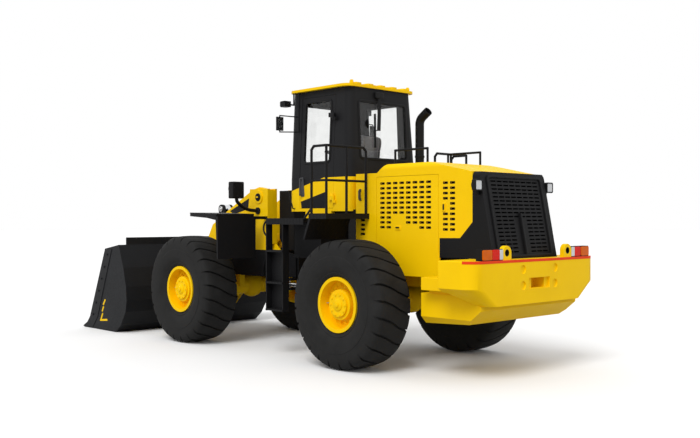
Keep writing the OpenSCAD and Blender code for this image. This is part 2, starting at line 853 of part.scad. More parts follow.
module lift_barrels() {
    color(dark) for (s = [-1, 1]) aim(pj, ph, s * lift_y, pj)
        barrel(lift_r, 42, 1330, 72, 40 + run, 90);
}

module lift_rods() {
    color(steel) for (s = [-1, 1]) aim(pj, ph, s * lift_y, ph) rod(42, 1400, 72, 90);
}

module tilt_barrel() {
    color(dark) aim(pe, pf, 0, pe) barrel(tilt_r, 50, 1135, 85, 42 + run, 170);
}

module tilt_rod() {
    color(steel) aim(pe, pf, 0, pf) rod(50, 1200, 72, 100);
}

// Puts a piece drawn along +X on the left steering cylinder at o
module steer_at(o) {
    translate([o[0], o[1], st_z])
        rotate([0, 0, atan2(se[1] - sb[1], se[0] - sb[0])])
            rotate([90, 0, 0]) children();
}

module steer_barrel_left() {
    color(dark) steer_at(sb) barrel(steer_r, 30, 680, 60, 28 + run, 100);
}

module steer_barrel_right() {
    mirror([0, 1, 0]) steer_barrel_left();
}

module steer_rod_left() {
    color(steel) steer_at(se) rod(30, 627, 52, 100);
}

module steer_rod_right() {
    mirror([0, 1, 0]) steer_rod_left();
}

// Moves everything to the shared origin under the middle of the machine
module placed() {
    translate([-shift_x, 0, lift_z]) children();
}

placed() rear_frame();
placed() rear_axle();
placed() engine();
placed() counterweight();
placed() hood();
placed() hood_panels();
placed() rear_guard();
placed() exhaust();
placed() hood_rail();
placed() rear_lamps();
placed() work_lamps();
placed() rear_fenders();
placed() ladders();
placed() handrails();
placed() side_tanks();
placed() cab_base();
placed() cab_frame();
placed() cab_roof();
placed() cab_glass();
placed() seat();
placed() steering_wheel();
placed() mirrors();
placed() cab_door();
placed() door_glass();
placed() front_frame();
placed() front_axle();
placed() front_fenders();
placed() head_lamps();
placed() valve_cover();
placed() boom();
placed() bellcrank();
placed() bucket_link();
placed() bucket();
placed() bucket_teeth();
placed() lift_barrels();
placed() lift_rods();
placed() tilt_barrel();
placed() tilt_rod();
placed() steer_barrel_left();
placed() steer_barrel_right();
placed() steer_rod_left();
placed() steer_rod_right();
placed() tyre_fl();
placed() tyre_fr();
placed() tyre_rl();
placed() tyre_rr();
placed() rim_fl();
placed() rim_fr();
placed() rim_rl();
placed() rim_rr();
placed() belly_tank();
placed() cab_lamps();
placed() door_handle();
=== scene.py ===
"""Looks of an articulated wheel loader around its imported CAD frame."""

import math

import bpy
import numpy as np
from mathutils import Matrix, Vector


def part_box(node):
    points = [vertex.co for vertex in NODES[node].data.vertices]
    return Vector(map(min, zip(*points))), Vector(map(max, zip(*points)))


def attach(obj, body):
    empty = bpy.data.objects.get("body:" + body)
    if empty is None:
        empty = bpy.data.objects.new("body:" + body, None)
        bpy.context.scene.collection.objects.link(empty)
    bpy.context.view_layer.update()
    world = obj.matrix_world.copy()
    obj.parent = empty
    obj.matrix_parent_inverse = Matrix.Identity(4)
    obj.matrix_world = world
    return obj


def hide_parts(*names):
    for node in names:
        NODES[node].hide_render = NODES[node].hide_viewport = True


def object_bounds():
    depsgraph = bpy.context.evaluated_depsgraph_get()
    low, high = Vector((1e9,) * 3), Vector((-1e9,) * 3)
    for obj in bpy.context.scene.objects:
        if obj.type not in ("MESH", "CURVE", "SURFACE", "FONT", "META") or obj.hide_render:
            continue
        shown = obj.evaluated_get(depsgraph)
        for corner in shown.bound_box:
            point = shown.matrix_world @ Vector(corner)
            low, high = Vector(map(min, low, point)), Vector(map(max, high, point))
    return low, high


bl_info = {
    "name": "Wheel loader looks",
    "version": (1, 0, 0),
    "blender": (4, 5, 0),
    "location": "3D View > Sidebar > Loader",
    "description": "Finishes, lamps, trim and studio for an articulated wheel loader",
    "category": "Object",
}

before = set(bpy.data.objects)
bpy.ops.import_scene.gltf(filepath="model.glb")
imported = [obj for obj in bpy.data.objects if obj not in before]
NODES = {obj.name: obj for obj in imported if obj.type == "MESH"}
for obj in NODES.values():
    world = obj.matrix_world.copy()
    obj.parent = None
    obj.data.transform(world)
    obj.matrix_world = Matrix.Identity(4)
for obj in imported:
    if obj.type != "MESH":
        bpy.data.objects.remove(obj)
CAD_BOX = [list(corner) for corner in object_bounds()]

# Place of the centre hinge along the CAD frame
HINGE_X = -0.4575
TAU = 2 * math.pi
FORWARD, LEFT, UP = (1, 0, 0), (0, 1, 0), (0, 0, 1)


# Surfaces

def shell(grid, wrap_u=False, wrap_v=False, caps=False):
    """Points and faces of a grid surface: neighbouring rows and columns make quads,
    wrap_u and wrap_v join the last row or column to the first, and caps closes
    the first and last column of a grid wrapped in u with one flat face each."""
    grid = np.asarray(grid, float)
    nu, nv = grid.shape[:2]
    u = np.arange(nu if wrap_u else nu - 1)
    v = np.arange(nv if wrap_v else nv - 1)
    uu, vv = np.meshgrid(u, v, indexing="ij")
    un, vn = (uu + 1) % nu, (vv + 1) % nv
    quads = np.stack([uu * nv + vv, un * nv + vv, un * nv + vn, uu * nv + vn], -1)
    faces = quads.reshape(-1, 4).tolist()
    if caps:
        rows = np.arange(nu) * nv
        faces.append(rows[::-1].tolist())
        faces.append((rows + nv - 1).tolist())
    return grid.reshape(-1, 3), faces


def joined(parts):
    """Points and faces of several shells as one list, each face index moved on."""
    points, faces, start = [], [], 0
    for p, f in parts:
        points.append(p)
        faces += [[i + start for i in face] for face in f]
        start += len(p)
    return np.concatenate(points), faces


def repeated(part, places):
    """A shell copied to places, an array of 4x4 matrices, as one shell."""
    p, f = part
    h = np.concatenate([p, np.ones((len(p), 1))], 1)
    moved = np.einsum("kij,nj->kni", np.asarray(places, float), h)[:, :, :3]
    return joined([(m, f) for m in moved])


def mirrored(part):
    """A shell mirrored in y, with its faces turned round so that they still point out."""
    p, f = part
    return p * np.array([1, -1, 1]), [face[::-1] for face in f]


def both(part):
    """A shell on the left and its mirror image on the right."""
    return joined([part, mirrored(part)])


def lathe(profile, base, axis, around=32):
    """A profile of (distance along axis, radius) turned round a line through base:
    point = base + axis * distance + radius * (cos a * side + sin a * other)."""
    profile = np.asarray(profile, float)
    axis = np.asarray(axis, float) / np.linalg.norm(axis)
    side = np.cross(axis, [0, 0, 1] if abs(axis[2]) < 0.9 else [1, 0, 0])
    side /= np.linalg.norm(side)
    other = np.cross(axis, side)
    a = np.arange(around) * TAU / around
    ring = np.cos(a)[:, None] * side + np.sin(a)[:, None] * other
    grid = (np.asarray(base, float) + profile[None, :, :1] * axis
            + profile[None, :, 1:] * ring[:, None, :])
    return shell(grid, wrap_u=True, caps=True)


def soft_box(centre, size, power=0.25, around=32, up=17, turn=None):
    """A box with rounded edges: each axis is half its size times the power of a sphere's
    cosines and sines, with their sign kept, so a small power gives flat sides."""
    a = (np.arange(around) + 0.5) * TAU / around
    e = np.linspace(-0.5, 0.5, up) * math.pi * 0.998
    root = lambda x: np.sign(x) * np.abs(x) ** power
    ca, sa = root(np.cos(a))[:, None], root(np.sin(a))[:, None]
    ce, se = root(np.cos(e))[None, :], root(np.sin(e))[None, :]
    grid = np.stack([ca * ce, sa * ce, np.ones_like(ca) * se], -1) * np.asarray(size) / 2
    if turn is not None:
        grid = grid @ np.asarray(turn, float).T
    return shell(grid + np.asarray(centre, float), wrap_u=True, caps=True)


def along(path, section, closed=False):
    """A section of (side, up) offsets carried along a path: each point of the path has a
    forward direction from its neighbours, a side across it and an up that completes them."""
    path = np.asarray(path, float)
    section = np.asarray(section, float)
    if closed:
        ahead = np.roll(path, -1, 0) - np.roll(path, 1, 0)
    else:
        ahead = np.gradient(path, axis=0)
    ahead /= np.linalg.norm(ahead, axis=1)[:, None]
    flat = np.linalg.svd(path - path.mean(0))[2][-1]
    if abs(flat @ ahead[0]) > 0.9 or np.linalg.matrix_rank(path - path.mean(0), tol=1e-5) < 2:
        flat = np.array([0, 0, 1.0]) if abs(ahead[0][2]) < 0.9 else np.array([1.0, 0, 0])
    side = np.cross(ahead, flat)
    side /= np.linalg.norm(side, axis=1)[:, None]
    up = np.cross(side, ahead)
    grid = (path[None] + section[:, None, :1] * side[None]
            + section[:, None, 1:] * up[None])
    part = shell(grid, wrap_u=True, wrap_v=closed, caps=not closed)
    return outward(part)


def outward(part):
    """The shell with its faces pointing out, told by the sign of its enclosed volume: each face is a
    fan of triangles, and each triangle adds its first point times the cross product of the others."""
    p, f = part
    fans = [(q[0], q[i], q[i + 1]) for q in f for i in range(1, len(q) - 1)]
    a, b, c = p[np.array(fans).T]
    volume = np.einsum("ij,ij->", a, np.cross(b, c))
    return (p, [face[::-1] for face in f]) if volume < 0 else (p, f)


def circle(radius, count=12):
    """Offsets of a round section."""
    a = np.arange(count) * TAU / count
    return radius * np.stack([np.cos(a), np.sin(a)], -1)


def oblong(width, height, radius, steps=4):
    """Offsets of a rectangle with quarter-circle corners, anticlockwise."""
    a = np.linspace(0, TAU / 4, steps + 1)
    corners = []
    for k, (sx, sy) in enumerate([(1, 1), (-1, 1), (-1, -1), (1, -1)]):
        t = a + k * TAU / 4
        corners.append(np.stack([sx * (width / 2 - radius) + radius * np.cos(t),
                                 sy * (height / 2 - radius) + radius * np.sin(t)], -1))
    return np.concatenate(corners)


def bend(before, corner, after, radius, steps=6):
    """An arc at a corner: the curve a*(1-t)^2 + 2*corner*t*(1-t) + b*t^2 between points a and b on the
    legs, each a radius, or just under half its leg, from the corner."""
    legs = [leg / np.linalg.norm(leg) * min(radius, np.linalg.norm(leg) * 0.49)
            for leg in (before - corner, after - corner)]
    a, b = corner + legs[0], corner + legs[1]
    t = np.linspace(0, 1, steps + 1)[:, None]
    return a * (1 - t) ** 2 + 2 * corner * t * (1 - t) + b * t ** 2


def rounded_path(points, radius, steps=6):
    """An open path through corner points whose inner corners are bends."""
    points = np.asarray(points, float)
    bends = [bend(*points[i - 1:i + 2], radius, steps) for i in range(1, len(points) - 1)]
    return np.concatenate([points[:1], *bends, points[-1:]])


def slab(outline, origin, x_axis, y_axis, thickness):
    """A flat outline of (x, y) points as a plate: the outline on its plane and again one
    thickness along the plane's normal, joined by the edge."""
    outline = np.asarray(outline, float)
    x_axis, y_axis = np.asarray(x_axis, float), np.asarray(y_axis, float)
    normal = np.cross(x_axis, y_axis)
    normal /= np.linalg.norm(normal)
    base = np.asarray(origin, float) + outline[:, :1] * x_axis + outline[:, 1:] * y_axis
    grid = np.stack([base, base + normal * thickness], 1)
    return outward(shell(grid, wrap_u=True, caps=True))


# The material slot that goes with each finish
SHARP_EDGE = math.radians(35)


def round_edges(obj, width):
    """A small bevel on the sharp edges of an object."""
    mod = obj.modifiers.new("edge", "BEVEL")
    mod.width, mod.segments, mod.limit_method = width, 2, "ANGLE"


def piece(name, part, body, look, bevel=0.0):
    """A mesh object from a shell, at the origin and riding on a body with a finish."""
    points, faces = part
    if not np.isfinite(points).all():
        raise ValueError(name + " has a point that is not a number")
    mesh = bpy.data.meshes.new(name)
    mesh.from_pydata(points.tolist(), [], faces)
    mesh.update()
    obj = bpy.data.objects.new(name, mesh)
    bpy.context.scene.collection.objects.link(obj)
    mesh.polygons.foreach_set("use_smooth", np.ones(len(mesh.polygons), bool))
    mesh.set_sharp_from_angle(angle=SHARP_EDGE)
    if bevel:
        round_edges(obj, bevel)
    mesh.materials.append(finish(look))
    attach(obj, body)
    return obj


# Finishes

# Lines between two colours: height, and lower by a drop per metre ahead of x
DOOR_BELT = (2.43, -0.74 + HINGE_X, 0.25)
# Below this line the yellow front frame is painted charcoal: painted shade under the tower
TOWER_SHADE_LINE = (1.40, 0.0, 0.0)
FINISH_PREFIX = "loader_"


def tree_of(name):
    """A material with node handles: the node tree, the surface shader and Object coordinates."""
    mat = bpy.data.materials.new(FINISH_PREFIX + name)
    mat.use_nodes = True
    tree = mat.node_tree
    shader = tree.nodes["Principled BSDF"]
    coords = tree.nodes.new("ShaderNodeTexCoord")
    return mat, tree, shader, coords.outputs["Object"]


def feed(node, inputs):
    """Fill a node's sockets by name: an output is linked, a number or colour is set."""
    for key, value in inputs.items():
        if isinstance(value, bpy.types.NodeSocket):
            node.id_data.links.new(value, node.inputs[key])
        else:
            node.inputs[key].default_value = value


def add(tree, kind, inputs):
    """A new node of a kind with its sockets filled."""
    node = tree.nodes.new("ShaderNode" + kind)
    feed(node, inputs)
    return node


def noise(tree, coords, scale, detail=4.0, rough=0.55):
    """A noise pattern on Object coordinates; scale is in features per metre."""
    node = add(tree, "TexNoise", {"Vector": coords, "Scale": scale, "Detail": detail, "Roughness": rough})
    return node.outputs["Fac"]


def ramp(tree, fac, stops):
    """A colour ramp over fac with two stops of (place, colour)."""
    node = add(tree, "ValToRGB", {"Fac": fac})
    for element, (place, colour) in zip(node.color_ramp.elements, stops):
        element.position = place
        element.color = (*colour, 1)
    return node.outputs["Color"]


def tinted(tree, fac, colour, low, high=1.0):
    """A colour that drifts with fac from low to high times itself."""
    colour = np.array(colour)
    return ramp(tree, fac, [(0.3, colour * low), (0.7, np.clip(colour * high, 0, 1))])


def spread(tree, fac, low, high):
    """The middle of fac, from 0.3 to 0.7, stretched to low..high."""
    node = add(tree, "MapRange", {"Value": fac, "From Min": 0.3, "From Max": 0.7,
                                  "To Min": low, "To Max": high})
    return node.outputs["Result"]


def blend(tree, fac, a, b):
    """Colour a where fac is 0 and colour b where it is 1."""
    node = tree.nodes.new("ShaderNodeMix")
    node.data_type = "RGBA"
    feed(node, {"Factor": fac, "A": a, "B": b})
    return node.outputs["Result"]


def maths(tree, operation, *values):
    """A maths node on values that are sockets or numbers."""
    node = tree.nodes.new("ShaderNodeMath")
    node.operation = operation
    feed(node, dict(enumerate(values)))
    return node.outputs[0]


def bump(tree, shader, height, strength, distance):
    """A bump of height on the shader's normal."""
    node = add(tree, "Bump", {"Height": height, "Strength": strength, "Distance": distance})
    feed(shader, {"Normal": node.outputs["Normal"]})


def paint(name, colour, rough=0.5, coat=0.02, gloss=0.1, wear=0.06, above=None, line=None):
    """Sprayed enamel: a slow tint change, a fine dust film, orange-peel bump and a thin clear coat.
    above is another colour for what lies over a line of (height, x, drop per metre ahead of x)."""
    mat, tree, shader, coords = tree_of(name)
    broad = noise(tree, coords, 1.7)
    fine = noise(tree, coords, 46.0, 6.0)
    tint = tinted(tree, broad, colour, 1 - wear, 1 + wear * 0.6)
    if above:
        axes = add(tree, "SeparateXYZ", {"Vector": coords})
        ahead = maths(tree, "MAXIMUM", maths(tree, "SUBTRACT", axes.outputs["X"], line[1]), 0.0)
        height = maths(tree, "MULTIPLY_ADD", ahead, line[2], axes.outputs["Z"])
        over = maths(tree, "GREATER_THAN", height, line[0])
        tint = blend(tree, over, tint, tinted(tree, broad, above, 1 - wear, 1 + wear * 0.6))
    feed(shader, {"Base Color": tint, "Roughness": spread(tree, fine, rough - 0.06, rough + 0.1),
                  "Specular IOR Level": gloss, "Coat Weight": coat, "Coat Roughness": 0.15})
    bump(tree, shader, noise(tree, coords, 260.0, 2.0), 0.06, 0.001)
    return mat


def tread_plate(name, colour):
    """Dark plate with a raised lozenge grip: two crossed wave patterns multiplied as bump."""
    tree = paint(name, colour, coat=0.0, gloss=0.1).node_tree
    coords = tree.nodes["Texture Coordinate"].outputs["Object"]
    waves = []
    for turn in (0.785, -0.785):
        turned = add(tree, "Mapping", {"Vector": coords, "Rotation": (0, 0, turn)})
        wave = add(tree, "TexWave", {"Vector": turned.outputs["Vector"], "Scale": 7.0})
        waves.append(wave.outputs["Fac"])
    bump(tree, tree.nodes["Principled BSDF"], maths(tree, "MULTIPLY", *waves), 0.35, 0.004)


def rubber(name, colour):
    """Tyre rubber: matt, with dusty patches and a fine moulded grain."""
    mat, tree, shader, coords = tree_of(name)
    broad = noise(tree, coords, 5.0, 5.0)
    colour = np.array(colour)
    dust = np.clip(colour * 1.3 + 0.004, 0, 1)
    feed(shader, {"Base Color": ramp(tree, broad, [(0.35, colour * 0.86), (0.72, dust)]),
                  "Roughness": spread(tree, broad, 0.62, 0.85), "Specular IOR Level": 0.12})
    bump(tree, shader, noise(tree, coords, 180.0, 4.0), 0.25, 0.002)


def bare_metal(name, colour, rough):
    """Ground or plated steel: fine scratches in the roughness and a faint bump."""
    mat, tree, shader, coords = tree_of(name)
    fine = noise(tree, coords, 320.0, 3.0)
    feed(shader, {"Metallic": 1.0, "Base Color": tinted(tree, fine, colour, 0.92),
                  "Roughness": spread(tree, fine, rough * 0.7, rough * 1.4)})
    bump(tree, shader, fine, 0.04, 0.0005)


def clear_glass(name, tint):
    """Tinted window glass: a clear shader with a faint film in its roughness."""
    mat, tree, shader, coords = tree_of(name)
    film = noise(tree, coords, 9.0)
    feed(shader, {"Base Color": tinted(tree, film, tint, 0.96), "Roughness": spread(tree, film, 0.01, 0.05),
                  "Transmission Weight": 1.0, "IOR": 1.02, "Specular IOR Level": 0.6,
                  "Coat Weight": 0.5, "Coat Roughness": 0.03})


def lens(name, colour):
    """Moulded lamp lens: coloured plastic with fine flutes as bump."""
    mat, tree, shader, coords = tree_of(name)
    feed(shader, {"Base Color": tinted(tree, noise(tree, coords, 12.0), colour, 0.85),
                  "Roughness": 0.25, "Specular IOR Level": 0.08})
    wave = add(tree, "TexWave", {"Vector": coords, "Scale": 36.0})
    wave.bands_direction = "Y"
    bump(tree, shader, wave.outputs["Fac"], 0.3, 0.002)


def cloth(name, colour):
    """Woven seat cloth: crossed threads as bump and a soft sheen."""
    mat, tree, shader, coords = tree_of(name)
    weave = add(tree, "TexBrick", {"Vector": coords, "Scale": 260.0})
    feed(shader, {"Base Color": tinted(tree, noise(tree, coords, 60.0), colour, 0.8),
                  "Roughness": 0.9, "Sheen Weight": 0.3})
    bump(tree, shader, weave.outputs["Fac"], 0.3, 0.001)


def plastic(name, colour):
    """Moulded plastic with a fine leathery grain."""
    mat, tree, shader, coords = tree_of(name)
    cells = noise(tree, coords, 140.0, 3.0)
    feed(shader, {"Base Color": tinted(tree, noise(tree, coords, 3.0), colour, 0.88),
                  "Roughness": spread(tree, cells, 0.45, 0.6), "Specular IOR Level": 0.15})
    bump(tree, shader, cells, 0.12, 0.0015)


# Settings

class LoaderColours(bpy.types.PropertyGroup):
    """Colours of the loader's finishes."""
    yellow: bpy.props.FloatVectorProperty(
        name="Yellow", description="Body enamel", subtype="COLOR", default=(1.0, 0.61, 0.0))
    charcoal: bpy.props.FloatVectorProperty(
        name="Charcoal", description="Guard, lamp and deck enamel", subtype="COLOR",
        default=(0.0082, 0.0082, 0.009))
    cab: bpy.props.FloatVectorProperty(
        name="Cab", description="Cab frame enamel", subtype="COLOR", default=(0.0122, 0.0122, 0.0132))
    bucket: bpy.props.FloatVectorProperty(
        name="Bucket", description="Bucket enamel", subtype="COLOR", default=(0.0115, 0.012, 0.0135))
    rubber: bpy.props.FloatVectorProperty(
        name="Rubber", description="Tyres", subtype="COLOR", default=(0.0155, 0.0153, 0.015))
    trim: bpy.props.FloatVectorProperty(
        name="Trim", description="Seals, housings and hoses", subtype="COLOR",
        default=(0.007, 0.007, 0.0075))
    cloth: bpy.props.FloatVectorProperty(
        name="Seat cloth", description="Seat cover", subtype="COLOR", default=(0.14, 0.14, 0.15))
    glass: bpy.props.FloatVectorProperty(
        name="Glass", description="Window tint", subtype="COLOR", default=(0.95, 0.955, 0.95))
    amber: bpy.props.FloatVectorProperty(
        name="Amber", description="Turn signal lens", subtype="COLOR", default=(0.74, 0.13, 0.001))
    red: bpy.props.FloatVectorProperty(
        name="Red", description="Tail lamp lens", subtype="COLOR", default=(0.78, 0.018, 0.008))
    white: bpy.props.FloatVectorProperty(
        name="White", description="Clear lamp lens", subtype="COLOR", default=(0.72, 0.74, 0.76))
    stripe: bpy.props.FloatVectorProperty(
        name="Stripe", description="Warning stripe", subtype="COLOR", default=(0.85, 0.06, 0.01))


class LoaderSizes(bpy.types.PropertyGroup):
    """Sizes of the loader's small pieces."""
    tread_pitches: bpy.props.IntProperty(
        name="Tread pitches", description="Lugs around one side of a tyre", default=24)
    groove_depth: bpy.props.FloatProperty(
        name="Groove depth", description="Depth of the tread grooves", unit="LENGTH", default=0.034)
    wheel_nuts: bpy.props.IntProperty(
        name="Wheel nuts", description="Nuts on the disc of one rim", default=16)
    nut_radius: bpy.props.FloatProperty(
        name="Nut radius", description="Corner radius of a wheel nut", unit="LENGTH", default=0.019)
    seal_width: bpy.props.FloatProperty(
        name="Seal width", description="Width of the window seals", unit="LENGTH", default=0.034)
    stripe_height: bpy.props.FloatProperty(
        name="Stripe height", description="Height of the warning stripe", unit="LENGTH", default=0.032)
    hose: bpy.props.FloatProperty(
        name="Hose", description="Outside diameter of the hose loop", unit="LENGTH", default=0.024)
    pin_cap: bpy.props.FloatProperty(
        name="Pin cap", description="Radius of the caps on the linkage pins", unit="LENGTH", default=0.058)


class LoaderStage(bpy.types.PropertyGroup):
    """Camera and light of the studio."""
    eye: bpy.props.FloatVectorProperty(
        name="Camera place", description="Where the camera stands", subtype="TRANSLATION",
        default=(-10.3625, 8.887, 1.864))
    heading: bpy.props.FloatProperty(
        name="Camera heading", description="Turn of the camera about the vertical", subtype="ANGLE",
        default=math.radians(-133.568))
    lens: bpy.props.FloatProperty(
        name="Lens", description="Focal length in millimetres", default=46.34)
    sky: bpy.props.FloatProperty(
        name="Sky", description="Strength of the even white light", default=0.78)
    sun: bpy.props.FloatProperty(
        name="Key", description="Strength of the soft key light", default=1.72)


def colours():
    return bpy.context.scene.loader_colours


def sizes():
    return bpy.context.scene.loader_sizes


def at(x, y, z):
    """A point in metres from millimetres measured from the centre hinge on the ground."""
    return np.array([x / 1000 + HINGE_X, y / 1000, z / 1000])


def finish(name):
    """A finish made by the finishes operator."""
    return bpy.data.materials[FINISH_PREFIX + name]


def moved(x=0.0, y=0.0, z=0.0, turn=0.0, axis="Z"):
    """A 4x4 matrix that turns about an axis and then moves."""
    c, s = math.cos(turn), math.sin(turn)
    m = np.eye(4)
    i, j = {"X": (1, 2), "Y": (2, 0), "Z": (0, 1)}[axis]
    m[i, i], m[j, j], m[i, j], m[j, i] = c, c, -s, s
    m[:3, 3] = (x, y, z)
    return m


def arc(centre, radius, start, end, count=12):
    """Points of a circle's arc between two angles in degrees: centre + radius * (cos, sin)."""
    a = np.radians(np.linspace(start, end, count))
    return np.asarray(centre) + radius * np.stack([np.cos(a), np.sin(a)], -1)


def smooth_curve(points, steps):
    """A curve through the points: each span is the cubic whose end slopes are half the
    difference of the neighbouring points."""
    p = np.asarray(points, float)
    p = np.concatenate([2 * p[:1] - p[1:2], p, 2 * p[-1:] - p[-2:-1]])
    t = np.linspace(0, 1, steps, endpoint=False)[None, :, None]
    a, b, c, d = (q[:, None, :] for q in (p[:-3], p[1:-2], p[2:-1], p[3:]))
    curve = 0.5 * (2 * b + (c - a) * t + (2 * a - 5 * b + 4 * c - d) * t ** 2
                   + (3 * b - a - 3 * c + d) * t ** 3)
    return np.concatenate([curve.reshape(-1, p.shape[1]), p[-2:-1]])


def run(points, radius, section, steps=6):
    """A section carried along a path with bends through points in millimetres from the hinge."""
    return along(rounded_path([at(*p) for p in points], radius, steps), section)


# Pieces

WHEELS = {"fl": (1, 1), "fr": (1, -1), "rl": (-1, 1), "rr": (-1, -1)}
AXLE_X, TYRE_Y, AXLE_Z = 1.75, 1.12, 0.805


class LOADER_OT_finishes(bpy.types.Operator):
    """Make the finishes and put one on every CAD node"""
    bl_idname = "loader.finishes"
    bl_label = "Finishes"

    def execute(self, context):
        c = colours()
        paint("yellow_enamel", c.yellow)
        paint("charcoal_enamel", c.charcoal, coat=0.02, wear=0.12)
        paint("cab_enamel", c.cab, wear=0.12)
        paint("door_enamel", c.yellow, above=c.cab, line=DOOR_BELT)
        # Yellow front frame, charcoal below the tower line as painted shade under the tower
        paint("tower_enamel_painted_shade", c.charcoal, above=c.yellow, line=TOWER_SHADE_LINE)
        paint("bucket_enamel", c.bucket, coat=0.02, gloss=0.1, wear=0.2)
        paint("stripe_enamel", c.stripe)
        tread_plate("deck_plate", c.charcoal)
        rubber("tyre_rubber", c.rubber)
        bare_metal("rod_chrome", (0.78, 0.79, 0.8), 0.14)
        bare_metal("plated_steel", (0.5, 0.5, 0.5), 0.35)
        clear_glass("window_glass", c.glass)
        lens("amber_lens", c.amber)
        lens("red_lens", c.red)
        lens("white_lens", c.white)
        cloth("seat_cloth", c.cloth)
        plastic("trim_black", c.trim)
        rubber("hose_rubber", c.trim)
        # Near-black rubber for the radiator core, and for the black sheets and rings that are painted shade
        rubber("black_and_painted_shade", (0.0025, 0.0025, 0.0025))
        plastic("handle_grey", (0.075, 0.075, 0.08))
        paint("mirror_glass", (0.016, 0.017, 0.018), rough=0.2, coat=0.0, gloss=0.3)
        paint("engine_iron", (0.03, 0.031, 0.033), rough=0.6, coat=0.0, wear=0.3)
        for node, obj in NODES.items():
            obj.data.materials.clear()
            obj.data.materials.append(finish(NODE_FINISH.get(node, "yellow_enamel")))
        return {"FINISHED"}


DARK_NODES = ("rear_guard exhaust hood_rail rear_lamps work_lamps handrails side_tanks "
              "steering_wheel mirrors cab_lamps front_fenders head_lamps valve_cover bellcrank bucket_link "
              "lift_barrels tilt_barrel steer_barrel_left steer_barrel_right").split()
NODE_FINISH = {
    **{node: "charcoal_enamel" for node in DARK_NODES},
    **{node: "rod_chrome" for node in ("lift_rods", "tilt_rod", "steer_rod_left", "steer_rod_right")},
    **{node: "tyre_rubber" for node in ("tyre_fl", "tyre_fr", "tyre_rl", "tyre_rr")},
    **{node: "deck_plate" for node in ("rear_fenders", "ladders")},
    **{node: "bucket_enamel" for node in ("bucket", "bucket_teeth")},
    **{node: "window_glass" for node in ("cab_glass", "door_glass")},
    "cab_door": "door_enamel",
    "cab_frame": "cab_enamel",
    # The front frame's finish carries painted shade below the tower line
    "front_frame": "tower_enamel_painted_shade",
    "door_handle": "handle_grey",
    "engine": "engine_iron",
    "seat": "seat_cloth",
}


class LOADER_OT_tyres(bpy.types.Operator):
    """Make the four tyres with their cut tread"""
    bl_idname = "loader.tyres"
    bl_label = "Tyres"

    def execute(self, context):
        for key, (sx, sy) in WHEELS.items():
            part = tyre(sx, sy)
            obj = piece("tread_" + key, part, "wheel_" + key, "tyre_rubber")
            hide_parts("tyre_" + key)
        return {"FINISHED"}


def tyre(sx, sy):
    """A tyre as rings of one section: around the axle the angle steps through each lug's flat
    top and groove, the section runs from bead to bead over the tread and back inside. A point
    is axle + radius * (sin, cos of the angle) with the angle shifted along the slant of the
    groove, and in a groove the radius is less by the groove's depth."""
    s = sizes()
    half = np.array([[320, 216], [346, 216], [356, 226], [372, 240], [395, 256], [404, 254], [450, 284],
                     [500, 294], [560, 300], [600, 299], [606, 294], [640, 293], [690, 291],
                     [735, 282], [772, 262], [790, 236], [797, 190], [801, 140], [804, 70], [805, 0]])
    inner = np.array([[750, 0], [742, 180], [700, 246], [600, 256], [470, 240], [380, 205], [320, 190]])
    section = np.concatenate([half, half[-2::-1] * [1, -1], inner[::-1] * [1, -1], inner[1:]]) / 1000
    radius, width = section[:, 0], section[:, 1]
    outside = np.arange(len(section)) < 2 * len(half) - 1
    pitch = TAU / s.tread_pitches
    steps = np.array([-0.075, -0.052, 0.052, 0.075, 0.22, 0.36, 0.5, 0.64, 0.78])
    in_groove = np.array([0, 1, 1, 0, 0, 0, 0, 0, 0.0])
    lugs = np.arange(s.tread_pitches)[:, None]
    around = ((lugs + steps) * pitch).ravel()
    zig = np.interp(width, [-0.30, -0.2, -0.06, 0.06, 0.2, 0.30], [-0.5, -0.42, -0.16, 0.16, 0.42, 0.5])
    angle = around[:, None] + zig * pitch * np.where(outside, 1, 0)
    shoulder = np.interp(radius, [0.70, 0.76], [0, 1]) * outside
    depth = s.groove_depth * np.tile(in_groove, s.tread_pitches)[:, None] * shoulder
    flat = np.interp(radius, [0.7, 0.79], [0.0, 1.0])
    r = radius - depth * flat
    y = width - np.sign(width) * depth * (1 - flat) * 0.7
    grid = np.stack([sx * AXLE_X + HINGE_X + r * np.sin(angle), sy * TYRE_Y + sy * y,
                     AXLE_Z + r * np.cos(angle)], -1)
    return outward(shell(grid, wrap_u=True, wrap_v=True))


class LOADER_OT_wheel_trim(bpy.types.Operator):
    """Put the nuts, hub bolts and valve on each rim"""
    bl_idname = "loader.wheel_trim"
    bl_label = "Wheel nuts"

    def execute(self, context):
        s = sizes()
        r = s.nut_radius
        for key, (sx, sy) in WHEELS.items():
            hub = np.array([sx * AXLE_X + HINGE_X, sy * TYRE_Y, AXLE_Z])
            out = np.array([0, sy, 0.0])
            centre = (0, 0, 0)
            nut = joined([lathe([(0, r * 1.5), (0.006, r * 1.5), (0.008, r * 1.35)], centre, out, 20),
                          lathe([(0.007, r), (0.026, r), (0.03, r * 0.85)], centre, out, 6),
                          lathe([(0.029, r * 0.55), (0.042, r * 0.55), (0.045, r * 0.4)], centre, out, 12)])
            bolt = lathe([(0, 0.013), (0.009, 0.013), (0.011, 0.011)], centre, out, 6)
            rings = []
            for shape, count, ring, lift in ((nut, s.wheel_nuts, 0.235, 0.096), (bolt, 10, 0.128, 0.218)):
                a = (np.arange(count) + 0.5) * TAU / count
                spots = hub + np.stack([ring * np.sin(a), np.full(count, sy * lift), ring * np.cos(a)], -1)
                rings.append(repeated(shape, [moved(*spot, t, "Y") for spot, t in zip(spots, a)]))
            cap = lathe([(0.217, 0.075), (0.226, 0.075), (0.232, 0.066), (0.234, 0.03), (0.246, 0.03),
                         (0.248, 0.024)], hub, out, 40)
            piece("wheel_nuts_" + key, joined([*rings, cap]), "wheel_" + key, "yellow_enamel")
            stem = hub + np.array([0.285, sy * 0.09, 0.0])
            valve = lathe([(0, 0.008), (0.03, 0.008), (0.032, 0.006), (0.05, 0.006), (0.052, 0.004)],
                          stem, out, 12)
            piece("tyre_valve_" + key, valve, "wheel_" + key, "plated_steel")
        return {"FINISHED"}


